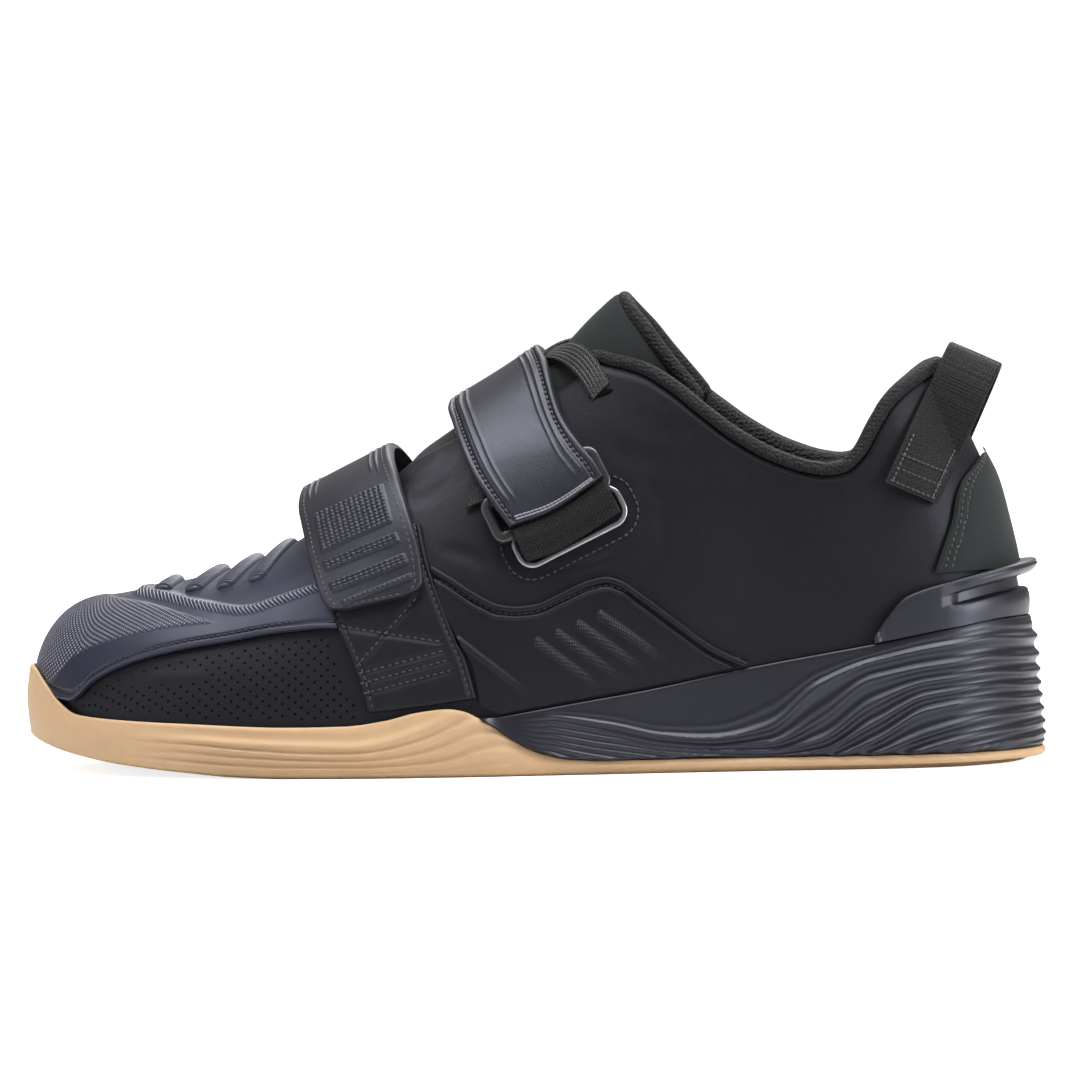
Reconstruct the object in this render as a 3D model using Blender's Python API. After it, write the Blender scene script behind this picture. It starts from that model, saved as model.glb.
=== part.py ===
"""A weightlifting shoe for the left foot, standing empty on its sole.

The toe points to -X, the heel to +X and up is +Z. The lateral (outer) side of the foot is -Y and
the medial (inner) side is +Y. The floor is z = 0. Lengths are in metres.

Every upper piece is cut from one surface, the skin of the last. A place on the skin is given by
x, by its share of the way up the section (0 at the feather line, 1 at the ridge) and by its side.
"""

import math

import bmesh
import bpy
import numpy as np

# Driving sizes
LENGTH = 0.300
BALL_WIDTH = 0.100
INSTEP_HEIGHT = 0.143
HEEL_TOP = 0.115
HEEL_SEAT = 0.0335
HEEL_RIM = 0.0425
UPPER_WALL = 0.0022
TOE_RIM = 0.0030
HEEL_FLARE = 0.0085
TOE_ROUND = 0.022
TOE_SQUARE = 2.5
INSOLE_THICKNESS = 0.004
TONGUE_THICKNESS = 0.0042
OVERLAY = 0.0013
STRAP_THICKNESS = 0.0026
RING_WIRE = 0.0030
RING_THICKNESS = 0.0022
FRAME_WIRE = 0.0017
FRAME_THICKNESS = 0.0014
WEBBING = 0.0013
LACE_WIDTH = 0.0050
LACE_THICKNESS = 0.0007
LOOP_WIDTH = 0.0165
LOOP_THICKNESS = 0.0016
RIB_DEPTH = 0.0008
CLEAR = 0.0003
OVERLAY_GAP = 0.0006

# Shaping of the gum sole and of the heel wedge
SOLE_RIBS = 4
SOLE_INSET = 0.0060
SOLE_ROUND = 0.0016
SOLE_FOOT = 0.0010
SOLE_FOOT_LIFT = 0.0002
SOLE_CORNER = 0.0026
SOLE_SIDE_IN = 0.0012
SOLE_BULGE = 0.0008
SOLE_FULL_WALL = 0.0120
SOLE_TOP_IN = 0.0004
FLARE_IN = 0.0010
GUM_HEEL_IN = 0.0008
BED_INSET = 0.0020
WEDGE_RIDGES = 6
WEDGE_RIDGE_DEPTH = 0.00096
WEDGE_INSET = 0.0040
WEDGE_LEAN = 0.42
INSOLE_LEAN = 0.0008

# Shares along LENGTH where the grooves of the sole start, reach full depth and end
GROOVE_START = 0.06
GROOVE_FULL = 0.14
GROOVE_FADE = 0.46
GROOVE_END = 0.50
RIDGE_START = 0.50
RIDGE_FULL = 0.56

TOE_X = TOE_RIM - LENGTH / 2
HEEL_X = LENGTH / 2 - HEEL_FLARE
LATERAL = -1
MEDIAL = 1

# Outline of the last at the feather line. share: along the upper; the others: sideways, in BALL_WIDTH
OUTLINE_COLUMNS = ("share", "lateral", "medial", "ridge")
OUTLINE = (
    (0.00, 0.090, 0.090, 0.090),
    (0.03, -0.140, 0.280, 0.086),
    (0.08, -0.285, 0.385, 0.080),
    (0.15, -0.395, 0.445, 0.068),
    (0.22, -0.455, 0.475, 0.056),
    (0.30, -0.495, 0.490, 0.044),
    (0.36, -0.505, 0.475, 0.032),
    (0.45, -0.490, 0.425, 0.015),
    (0.55, -0.450, 0.365, 0.002),
    (0.65, -0.405, 0.320, 0.000),
    (0.75, -0.368, 0.308, 0.000),
    (0.85, -0.345, 0.315, 0.000),
    (0.93, -0.290, 0.270, 0.000),
    (0.98, -0.165, 0.155, 0.000),
    (1.00, 0.000, 0.000, 0.000),
)

# Crown of the last from the side. share: along LENGTH from the toe; height: of INSTEP_HEIGHT;
# square: how square the section is (2 is an ellipse)
CROWN_COLUMNS = ("share", "height", "square")
CROWN = (
    (0.010, 0.332, 2.50),
    (0.080, 0.343, 2.50),
    (0.140, 0.364, 2.45),
    (0.177, 0.380, 2.40),
    (0.217, 0.402, 2.35),
    (0.253, 0.430, 2.35),
    (0.277, 0.458, 2.30),
    (0.300, 0.493, 2.25),
    (0.333, 0.552, 2.20),
    (0.367, 0.615, 2.10),
    (0.390, 0.661, 2.02),
    (0.410, 0.689, 1.98),
    (0.500, 0.804, 1.84),
    (0.532, 0.853, 1.78),
    (0.588, 1.003, 1.70),
    (0.617, 1.063, 1.70),
    (0.667, 1.133, 1.75),
    (0.733, 1.168, 1.85),
    (0.967, 1.175, 2.10),
)

# Foot bed, in HEEL_SEAT, and the rounded front of the sole's underside, in TOE_SPRING
BED_COLUMNS = ("share", "bed")
BED = (
    (0.010, 0.463),
    (0.040, 0.388),
    (0.080, 0.328),
    (0.177, 0.275),
    (0.300, 0.257),
    (0.350, 0.275),
    (0.400, 0.328),
    (0.450, 0.406),
    (0.480, 0.454),
    (0.610, 0.612),
    (0.717, 0.746),
    (0.840, 0.896),
    (0.917, 0.970),
    (0.970, 1.000),
)
TOE_SPRING = 0.0100
SPRING_COLUMNS = ("share", "under")
SPRING = (
    (0.000, 1.00),
    (0.020, 0.83),
    (0.040, 0.68),
    (0.080, 0.46),
    (0.133, 0.27),
    (0.177, 0.15),
    (0.217, 0.05),
    (0.260, 0.00),
)

# Upper edge of the gum rubber and of the black heel wedge, both in HEEL_RIM
RIM_COLUMNS = ("share", "gum")
RIM = (
    (0.000, 0.730),
    (0.012, 0.705),
    (0.024, 0.620),
    (0.040, 0.500),
    (0.060, 0.415),
    (0.090, 0.395),
    (0.180, 0.372),
    (0.270, 0.352),
    (0.330, 0.358),
    (0.370, 0.395),
    (0.400, 0.446),
    (0.430, 0.468),
    (0.455, 0.462),
    (0.478, 0.410),
)
WEDGE_START = 0.478
JOINT_COLUMNS = ("share", "height")
JOINT = (
    (WEDGE_START, 0.325),
    (0.490, 0.262),
    (0.502, 0.208),
    (0.522, 0.148),
    (0.545, 0.112),
    (0.580, 0.098),
    (1.000, 0.098),
)
STEEP_END = 0.522
STEEP_CLEAR = 0.0010
STEEP_TURN = 0.26
WEDGE_COLUMNS = ("share", "height", "flare")
WEDGE = (
    (WEDGE_START, 0.405, 0.42),
    (0.540, 0.478, 0.46),
    (0.620, 0.570, 0.50),
    (0.717, 0.706, 0.56),
    (0.840, 0.855, 0.66),
    (0.910, 0.945, 0.80),
    (0.960, 0.995, 0.95),
    (1.000, 0.985, 1.00),
)

# Heel seen from the side. height: of HEEL_TOP; lean: how far the wall leans in, of LENGTH
LEAN_COLUMNS = ("height", "lean")
LEAN = (
    (0.30, 0.000),
    (0.40, 0.001),
    (0.50, 0.006),
    (0.62, 0.016),
    (0.70, 0.024),
    (0.74, 0.030),
    (0.81, 0.042),
    (0.87, 0.052),
    (0.93, 0.062),
    (1.00, 0.070),
    (1.10, 0.076),
)

# Top edge of the leather around the ankle, in HEEL_TOP, and the throat's half gap, in BALL_WIDTH
COLLAR_COLUMNS = ("share", "height")
COLLAR = (
    (0.500, 1.150),
    (0.553, 1.040),
    (0.576, 1.022),
    (0.612, 0.998),
    (0.640, 0.955),
    (0.671, 0.890),
    (0.700, 0.832),
    (0.740, 0.773),
    (0.779, 0.740),
    (0.795, 0.735),
    (0.812, 0.742),
    (0.832, 0.785),
    (0.849, 0.862),
    (0.860, 0.905),
    (0.880, 0.952),
    (0.903, 0.988),
    (0.930, 1.000),
)
THROAT_START = 0.300
THROAT_COLUMNS = ("share", "gap")
THROAT = (
    (0.300, 0.000),
    (0.310, 0.075),
    (0.327, 0.115),
    (0.350, 0.145),
    (0.390, 0.165),
    (0.500, 0.175),
    (0.576, 0.200),
    (0.700, 0.260),
)

# Straps, lateral end to medial end, one row for each place that shapes them. front and back are
# the strap's edges: share along LENGTH, height of INSTEP_HEIGHT (1.3 stands for the ridge), and
# how far the strap's underside stands off the skin, in LIFT
LIFT = 0.010
STRAP_COLUMNS = ("side", "front", "front_up", "back", "back_up", "front_off", "back_off")
FRONT_STRAP = (
    (-1, 0.325, 0.325, 0.397, 0.360, 0.19, 0.19),
    (-1, 0.313, 0.343, 0.407, 0.388, 0.19, 0.19),
    (-1, 0.303, 0.392, 0.405, 0.434, 0.23, 0.21),
    (-1, 0.297, 0.437, 0.397, 0.497, 0.40, 0.28),
    (-1, 0.296, 0.470, 0.387, 0.567, 0.75, 0.32),
    (-1, 0.299, 0.487, 0.378, 0.619, 0.98, 0.34),
    (-1, 0.303, 1.300, 0.375, 1.300, 1.09, 0.34),
    (1, 0.302, 0.487, 0.378, 0.619, 0.95, 0.34),
    (1, 0.302, 0.465, 0.387, 0.560, 0.72, 0.40),
    (1, 0.307, 0.420, 0.397, 0.490, 0.54, 0.50),
    (1, 0.315, 0.364, 0.405, 0.427, 0.50, 0.50),
    (1, 0.322, 0.315, 0.410, 0.378, 0.49, 0.49),
)
INSTEP_STRAP = (
    (-1, 0.490, 0.487, 0.582, 0.589, 0.53, 0.53),
    (-1, 0.475, 0.528, 0.575, 0.615, 0.54, 0.54),
    (-1, 0.455, 0.591, 0.560, 0.654, 0.50, 0.50),
    (-1, 0.437, 0.675, 0.540, 0.720, 0.32, 0.32),
    (-1, 0.430, 0.706, 0.527, 0.804, 0.28, 0.28),
    (-1, 0.430, 1.300, 0.518, 1.300, 0.27, 0.27),
    (1, 0.432, 0.696, 0.528, 0.783, 0.28, 0.28),
    (1, 0.443, 0.615, 0.543, 0.685, 0.26, 0.26),
    (1, 0.457, 0.531, 0.555, 0.601, 0.23, 0.23),
    (1, 0.467, 0.462, 0.562, 0.524, 0.19, 0.19),
    (1, 0.477, 0.434, 0.552, 0.493, 0.19, 0.19),
)
FRONT_STRAP_BASE = (
    (-1, 0.353, 0.133, 0.458, 0.158, 0.05, 0.05),
    (-1, 0.345, 0.200, 0.447, 0.240, 0.05, 0.05),
    (-1, 0.332, 0.266, 0.438, 0.280, 0.05, 0.05),
    (-1, 0.318, 0.325, 0.422, 0.364, 0.05, 0.05),
    (-1, 0.307, 0.378, 0.410, 0.440, 0.05, 0.05),
    (-1, 0.303, 0.430, 0.403, 0.505, 0.05, 0.05),
)
INSTEP_STRAP_BASE = (
    (1, 0.475, 0.378, 0.570, 0.430, 0.05, 0.05),
    (1, 0.468, 0.420, 0.573, 0.476, 0.05, 0.05),
    (1, 0.462, 0.476, 0.570, 0.545, 0.05, 0.05),
    (1, 0.453, 0.560, 0.560, 0.630, 0.05, 0.05),
)
INSTEP_WEBBING = (
    (-1, 0.4910, 0.483, 0.5827, 0.585, 0.52, 0.52),
    (-1, 0.4955, 0.465, 0.5872, 0.566, 0.52, 0.52),
    (-1, 0.5005, 0.444, 0.5922, 0.545, 0.28, 0.28),
    (-1, 0.5055, 0.425, 0.5972, 0.524, 0.25, 0.25),
)
FRONT_WEBBING = (
    (1, 0.3227, 0.309, 0.4107, 0.372, 0.49, 0.49),
    (1, 0.3257, 0.291, 0.4137, 0.354, 0.49, 0.49),
    (1, 0.3293, 0.268, 0.4173, 0.331, 0.28, 0.28),
    (1, 0.3330, 0.246, 0.4210, 0.309, 0.25, 0.25),
)

# Loops of the strap hardware. x, up: centre; reach, rise: half sizes; slope: of the long side
LOOP_COLUMNS = ("name", "side", "x", "up", "reach", "rise", "slope", "off", "wire", "deep")
LOOPS = (
    ("instep_ring", -1, 0.525, 0.557, 0.0190, 0.0068, 27.0, 0.0022, RING_WIRE, RING_THICKNESS),
    ("front_ring", 1, 0.360, 0.381, 0.0190, 0.0068, 18.0, 0.0024, RING_WIRE, RING_THICKNESS),
    ("instep_slot_frame", -1, 0.547, 0.497, 0.0175, 0.0063, 26.0, OVERLAY_GAP, FRAME_WIRE, FRAME_THICKNESS),
    ("front_slot_frame", 1, 0.373, 0.298, 0.0175, 0.0063, 18.0, OVERLAY_GAP, FRAME_WIRE, FRAME_THICKNESS),
)
LOOP_CORNER = 0.0035

# Lace crossings: share along LENGTH where each leaves the lateral and the medial eyestay, and its layer
LACE_COLUMNS = ("lateral", "medial", "layer")
LACE = (
    (0.571, 0.500, 0),
    (0.500, 0.571, 1),
    (0.480, 0.432, 0),
    (0.432, 0.480, 1),
)
EYELET_DROP = 0.172

# Lower border of the toe cap, and the raised side panel's upper border, in INSTEP_HEIGHT
CAP_END = 0.297
CAP_COLUMNS = ("share", "border")
CAP_BORDER = (
    (0.010, 0.222),
    (0.040, 0.172),
    (0.056, 0.160),
    (0.066, 0.168),
    (0.077, 0.184),
    (0.100, 0.212),
    (0.127, 0.233),
    (0.173, 0.256),
    (0.220, 0.273),
    (0.263, 0.290),
    (0.304, 0.300),
)
PIPING = 0.0010
PANEL_START = 0.462
PANEL_END = 0.716
PANEL_COLUMNS = ("share", "border")
PANEL_BORDER = (
    (0.462, 0.363),
    (0.480, 0.346),
    (0.495, 0.342),
    (0.513, 0.345),
    (0.531, 0.360),
    (0.565, 0.391),
    (0.582, 0.398),
    (0.596, 0.390),
    (0.617, 0.361),
    (0.652, 0.305),
    (0.686, 0.253),
    (0.716, 0.222),
)
PANEL_FOOT_GAP = 0.0010

# Ribs over the toe cap: share along LENGTH at the ridge and at the rib's lower end, and how far
# down the section that end lies, as a share
RIB_COLUMNS = ("ridge", "end", "down")
TOE_RIBS = (
    (0.140, 0.125, 0.16),
    (0.186, 0.157, 0.24),
    (0.222, 0.189, 0.28),
    (0.258, 0.224, 0.30),
)
TOE_RIB_WIDTH = 0.0042
TOE_RIB_HEIGHT = 0.0015
TOE_RIB_EDGE = 0.35
TOE_RIB_END = 0.4

# Heel clip: its top edge in HEEL_TOP and, on the wall at the back, how far each level stands off
# the skin. Its slot fades in over SLOT_FADE of LENGTH, and its lip over BACK_FADE
CLIP_START = 0.836
SLOT_START = 0.90
SLOT_FADE = 0.02
BACK_FADE = 0.06
CLIP_LEAST = 0.0006
CLIP_COLUMNS = ("share", "height")
CLIP_EDGE = (
    (0.836, 0.326),
    (0.846, 0.364),
    (0.856, 0.400),
    (0.866, 0.427),
    (0.880, 0.444),
    (0.910, 0.466),
    (0.940, 0.486),
    (0.970, 0.502),
    (1.000, 0.517),
)
LEVEL_COLUMNS = ("level", "side_off", "back_off")
CLIP_LEVELS = (
    (0.00, 0.0030, 0.0034),
    (0.28, 0.0030, 0.0038),
    (0.46, 0.0027, 0.0033),
    (0.52, 0.0016, 0.0014),
    (0.70, 0.0016, 0.0018),
    (0.76, 0.0024, 0.0052),
    (0.90, 0.0023, 0.0074),
    (1.00, 0.0015, 0.0066),
)

# Nubuck patch on the heel: share along LENGTH of its front edge at each height, of HEEL_TOP
PATCH_COLUMNS = ("height", "edge")
PATCH_EDGE = (
    (0.520, 0.900),
    (0.560, 0.905),
    (0.620, 0.912),
    (0.670, 0.915),
    (0.710, 0.920),
    (0.750, 0.931),
    (0.800, 0.943),
)
PATCH_TOP = 0.800
PATCH_GAP = 0.0009

# Tongue rows, toe end to top: share along LENGTH on its middle and at its edges, how far down the
# section the edges lie, and the depth inside the skin at the edges (sink) and on the middle (crest)
TONGUE_COLUMNS = ("middle", "edge", "down", "sink", "crest")
TONGUE = (
    (0.285, 0.290, 0.34, 0.0030, 0.0030),
    (0.350, 0.350, 0.34, 0.0030, 0.0030),
    (0.430, 0.430, 0.34, 0.0032, 0.0024),
    (0.500, 0.505, 0.36, 0.0038, 0.0014),
    (0.540, 0.560, 0.40, 0.0060, 0.0004),
    (0.567, 0.612, 0.42, 0.0095, 0.0003),
    (0.579, 0.652, 0.40, 0.0115, 0.0003),
)

# Section of the collar roll, seen along the edge: outwards from the leather's outer face, and up
# from the leather's edge, both in ROLL
ROLL = 0.0042
ROLL_COLUMNS = ("out", "up")
ROLL_SECTION = (
    (0.05, 0.10),
    (0.22, 0.42),
    (0.12, 0.80),
    (-0.35, 1.05),
    (-1.05, 1.00),
    (-1.70, 0.55),
    (-1.98, -0.35),
    (-1.90, -1.70),
    (-1.35, -3.20),
    (-0.78, -4.20),
    (-0.66, -2.50),
    (-0.62, 0.10),
)
ROLL_START = 0.585

# Pull loop, an arch over the heel's top. PULL_FOOT: share along LENGTH, and height of HEEL_TOP.
# rise: of LOOP_RISE along the arch; spread: of BALL_WIDTH
LOOP_RISE = 0.0430
PULL_FOOT = (0.8755, 0.6914)
PULL_TILT = 24.5
PULL_COLUMNS = ("rise", "spread")
PULL_ARCH = (
    (0.00, 0.180),
    (0.25, 0.175),
    (0.50, 0.165),
    (0.72, 0.150),
    (0.86, 0.125),
    (0.95, 0.085),
    (0.99, 0.040),
    (1.00, 0.000),
)

# Finish of each material: colour, roughness, metallic
GUM = (0.60, 0.36, 0.16), 0.55, 0.0
BLACK_RUBBER = (0.020, 0.020, 0.026), 0.35, 0.0
BLACK_LEATHER = (0.022, 0.022, 0.027), 0.45, 0.0
TOE_FILM = (0.030, 0.031, 0.048), 0.33, 0.0
KNIT = (0.016, 0.016, 0.018), 0.90, 0.0
NUBUCK = (0.028, 0.034, 0.033), 0.85, 0.0
WEBBING_CLOTH = (0.012, 0.012, 0.014), 0.75, 0.0
DARK_METAL = (0.030, 0.030, 0.036), 0.30, 0.9
BRIGHT_METAL = (0.55, 0.55, 0.57), 0.25, 1.0


def smooth(places, heights):
    """A monotone cubic curve through the points, level past its ends."""
    places = np.array(places, float)
    heights = np.array(heights, float)
    steps = np.diff(places)
    rises = np.diff(heights) / steps
    slopes = np.zeros(len(places))
    slopes[0] = rises[0]
    slopes[-1] = rises[-1]
    for i in range(1, len(places) - 1):
        if rises[i - 1] * rises[i] > 0:
            ahead = 2 * steps[i] + steps[i - 1]
            behind = steps[i] + 2 * steps[i - 1]
            slopes[i] = (ahead + behind) / (ahead / rises[i - 1] + behind / rises[i])

    def curve(x):
        x = np.clip(x, places[0], places[-1])
        i = np.clip(np.searchsorted(places, x) - 1, 0, len(steps) - 1)
        t = (x - places[i]) / steps[i]
        bow = steps[i] * t * (1 - t)
        line = heights[i] * (1 - t) + heights[i + 1] * t
        start = slopes[i] - rises[i]
        end = slopes[i + 1] - rises[i]
        return line + bow * (start * (1 - t) - end * t)

    return curve


def column(columns, rows, name):
    return [row[columns.index(name)] for row in rows]


def table_curve(columns, rows, name):
    return smooth(column(columns, rows, columns[0]), column(columns, rows, name))


def turned(share):
    """The angle along an outline, 0 at the toe and pi at the heel, for a share of its length."""
    return np.arccos(np.clip(1 - 2 * np.asarray(share, float), -1, 1))


OUTLINE_ANGLES = turned(column(OUTLINE_COLUMNS, OUTLINE, "share"))
LATERAL_EDGE = smooth(OUTLINE_ANGLES, column(OUTLINE_COLUMNS, OUTLINE, "lateral"))
MEDIAL_EDGE = smooth(OUTLINE_ANGLES, column(OUTLINE_COLUMNS, OUTLINE, "medial"))
RIDGE_LINE = smooth(OUTLINE_ANGLES, column(OUTLINE_COLUMNS, OUTLINE, "ridge"))
CROWN_HEIGHT = table_curve(CROWN_COLUMNS, CROWN, "height")
CROWN_SQUARE = table_curve(CROWN_COLUMNS, CROWN, "square")
BED_HEIGHT = table_curve(BED_COLUMNS, BED, "bed")
LEAN_IN = table_curve(LEAN_COLUMNS, LEAN, "lean")
COLLAR_HEIGHT = table_curve(COLLAR_COLUMNS, COLLAR, "height")
THROAT_GAP = table_curve(THROAT_COLUMNS, THROAT, "gap")


def along(x):
    """Share of LENGTH at x, from the toe."""
    return x / LENGTH + 0.5


def place(share):
    return (share - 0.5) * LENGTH


def bed(x):
    return BED_HEIGHT(along(x)) * HEEL_SEAT


def feather(x):
    return bed(x) + CLEAR


def crown(x):
    return CROWN_HEIGHT(along(x)) * INSTEP_HEIGHT


def front_at(up):
    """x of the toe wall at a share of the way up."""
    return TOE_X + TOE_ROUND * (1 - np.cos(up * math.pi / 2) ** (2 / TOE_SQUARE))


def back_at(z):
    """x of the heel wall at height z."""
    return HEEL_X - LEAN_IN(z / HEEL_TOP) * LENGTH


def height_at(x, up):
    rise = np.sin(up * math.pi / 2) ** (2 / CROWN_SQUARE(along(x)))
    return feather(x) + (crown(x) - feather(x)) * rise


def up_at(x, z):
    """Share of the way up the section at x that reaches height z."""
    rise = np.clip((z - feather(x)) / (crown(x) - feather(x)), 0, 1)
    return np.arcsin(rise ** (CROWN_SQUARE(along(x)) / 2)) * 2 / math.pi


def turn_at(x, up):
    """Angle along the outline of the place at x, a share of the way up."""
    back = back_at(height_at(x, up))
    front = front_at(up)
    return turned((x - front) / (back - front))


def bare_skin(turn, up, side):
    share = (1 - np.cos(turn)) / 2
    front = front_at(up)
    x = front + share * (HEEL_X - front)
    for _ in range(5):
        x = front + share * (back_at(height_at(x, up)) - front)
    ridge = RIDGE_LINE(turn)
    edge = np.where(side < 0, LATERAL_EDGE(turn), MEDIAL_EDGE(turn))
    narrow = np.cos(up * math.pi / 2) ** (2 / CROWN_SQUARE(along(x)))
    y = (ridge + (edge - ridge) * narrow) * BALL_WIDTH
    return np.stack([x, y, height_at(x, up)], axis=-1)


def skin_normal(turn, up, side):
    step = 0.002
    turn = np.clip(turn, 2 * step, math.pi - 2 * step)
    up = np.clip(up, step, 1 - 2 * step)
    forward = bare_skin(turn + step, up, side) - bare_skin(turn - step, up, side)
    upward = bare_skin(turn, up + step, side) - bare_skin(turn, up - step, side)
    normal = np.cross(forward, upward) * -np.asarray(side)[..., None]
    return normal / np.linalg.norm(normal, axis=-1, keepdims=True)


def skin(turn, up, side, out=0.0):
    """Points of the skin moved outwards by out, for arrays of places."""
    turn, up, side, out = np.broadcast_arrays(*(np.asarray(v, float) for v in (turn, up, side, out)))
    normal = skin_normal(turn, up, side)
    other = skin_normal(turn, up, -side)
    seam = (turn < 1e-6) | (turn > math.pi - 1e-6) | (up > 1 - 1e-6)
    middle = (normal + other) * (1.0, 0.0, 1.0)
    middle /= np.linalg.norm(middle, axis=-1, keepdims=True)
    normal = np.where(seam[..., None], middle, normal)
    return bare_skin(turn, up, side) + normal * out[..., None]


def on_skin(x, up, side, out=0.0):
    return skin(turn_at(x, up), up, side, out)


def inside(x, up, side, depth):
    """Points of the section at x shrunk towards its foot, about depth inside the skin."""
    points = on_skin(x, up, side)
    half = np.where(side < 0, -LATERAL_EDGE(turn_at(x, up)), MEDIAL_EDGE(turn_at(x, up))) * BALL_WIDTH
    foot = feather(x)
    slope = (crown(x + CLEAR) - crown(x - CLEAR)) / (2 * CLEAR)
    points[..., 1] *= 1 - depth / half
    points[..., 2] = foot + (points[..., 2] - foot) * (1 - depth * np.hypot(1, slope) / (crown(x) - foot))
    return points


def outline(turn, side, out, height):
    """The feather line moved outwards by out, at the height that height(x) gives."""
    points = skin(turn, 0.0, side, out)
    points[..., 2] = height(points[..., 0])
    return points


def wall_line(turn, side, out, height):
    """The line where the skin, moved outwards by out, reaches the height that height(x) gives."""
    up = np.zeros(np.shape(turn))
    for _ in range(6):
        x = bare_skin(turn, up, side)[..., 0]
        up = up_at(x, height(x))
    points = skin(turn, up, side, out)
    points[..., 2] = height(points[..., 0])
    return points


def weld(points, faces):
    """Points nearer than two hundredths of a millimetre become one. Returns the first of each."""
    keys = np.round(points / 2e-5).astype(np.int64)
    _, first, index = np.unique(keys, axis=0, return_index=True, return_inverse=True)
    index = index.reshape(-1)
    welded = []
    for face in faces:
        corners = []
        for corner in face:
            if index[corner] not in corners:
                corners.append(int(index[corner]))
        if len(corners) > 2:
            welded.append(corners)
    return first, welded


def grid_faces(rows, columns, start=0):
    faces = []
    for i in range(rows - 1):
        for j in range(columns - 1):
            at = start + i * columns + j
            faces.append((at, at + 1, at + columns + 1, at + columns))
    return faces


def finish(name, points, faces, look):
    """One closed solid with its faces outwards and its own material."""
    mesh = bpy.data.meshes.new(name)
    mesh.from_pydata([tuple(point) for point in points], [], faces)
    shape = bmesh.new()
    shape.from_mesh(mesh)
    bmesh.ops.remove_doubles(shape, verts=shape.verts, dist=1e-6)
    bmesh.ops.recalc_face_normals(shape, faces=shape.faces)
    if shape.calc_volume(signed=True) < 0:
        bmesh.ops.reverse_faces(shape, faces=shape.faces)
    shape.to_mesh(mesh)
    shape.free()
    mesh.shade_smooth()
    mesh.set_sharp_from_angle(angle=math.radians(40))
    part = bpy.data.objects.new(name, mesh)
    bpy.context.scene.collection.objects.link(part)
    colour, roughness, metallic = look
    material = bpy.data.materials.new(name)
    material.use_nodes = True
    shader = material.node_tree.nodes["Principled BSDF"]
    shader.inputs["Base Color"].default_value = (*colour, 1.0)
    shader.inputs["Roughness"].default_value = roughness
    shader.inputs["Metallic"].default_value = metallic
    mesh.materials.append(material)
    return part


def slab(name, outer, inner, faces, look):
    """A sheet with a wall: outer and inner points in step, closed along every open edge."""
    first, faces = weld(outer, faces)
    outer = outer[first]
    inner = inner[first]
    count = len(outer)
    uses = {}
    for face in faces:
        for a, b in zip(face, face[1:] + face[:1]):
            uses.setdefault((min(a, b), max(a, b)), []).append((a, b))
    strips = []
    for found in uses.values():
        if len(found) == 1:
            a, b = found[0]
            strips.append((b, a, a + count, b + count))
    backs = [[corner + count for corner in reversed(face)] for face in faces]
    return finish(name, np.concatenate([outer, inner]), faces + backs + strips, look)


def loft(name, rings, look):
    """Rings of the same number of points, lateral side toe to heel and back along the medial side."""
    count = len(rings[0])
    points = np.concatenate(rings)
    faces = []
    for i in range(len(rings) - 1):
        for j in range(count):
            a = i * count + j
            b = i * count + (j + 1) % count
            faces.append((a, b, b + count, a + count))
    last = (len(rings) - 1) * count
    for j in range(count // 2 - 1):
        across = count - 1 - j
        faces.append((j, j + 1, across - 1, across))
        faces.append((last + j, last + j + 1, last + across - 1, last + across))
    first, faces = weld(points, faces)
    return finish(name, points[first], faces, look)


def ring(turns, line):
    """A closed ring from line(turns, side), lateral side first."""
    lateral = line(turns, LATERAL)
    medial = line(turns, MEDIAL)
    return np.concatenate([lateral, medial[::-1]])


def sole_turns():
    """Angles along the outline: the front, up to the heel wedge, and the back, closer at its start."""
    start = float(turn_at(place(WEDGE_START), 0.0))
    front = np.linspace(0, start, 13)
    steep = np.linspace(start, start + STEEP_TURN, 5)
    back = np.linspace(start + STEEP_TURN, math.pi, 14)
    return front, np.concatenate([steep, back[1:]])


def underside(x):
    return table_curve(SPRING_COLUMNS, SPRING, "under")(along(x)) * TOE_SPRING


def joint(x):
    """Height of the face between the gum sole and the heel wedge."""
    return table_curve(JOINT_COLUMNS, JOINT, "height")(along(x)) * HEEL_RIM


def wedge_seat(x):
    """Underside of the heel wedge, a little more clear of the gum where the joint is steep."""
    steep = np.clip((STEEP_END - along(x)) / (STEEP_END - WEDGE_START), 0, 1)
    return joint(x) + CLEAR + STEEP_CLEAR * steep


def gum_rim(x):
    rim = table_curve(RIM_COLUMNS, RIM, "gum")(along(x)) * HEEL_RIM
    return np.where(along(x) < RIM[-1][0], rim, joint(x))


def wedge_rim(x):
    return table_curve(WEDGE_COLUMNS, WEDGE, "height")(along(x)) * HEEL_RIM


def wedge_flare(x):
    return table_curve(WEDGE_COLUMNS, WEDGE, "flare")(along(x)) * HEEL_FLARE


def gum_top(x):
    """Bed of the gum sole: the foot bed in front, the wedge's seat behind."""
    return np.where(along(x) < WEDGE_START, bed(x), np.minimum(bed(x), joint(x)))


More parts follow.
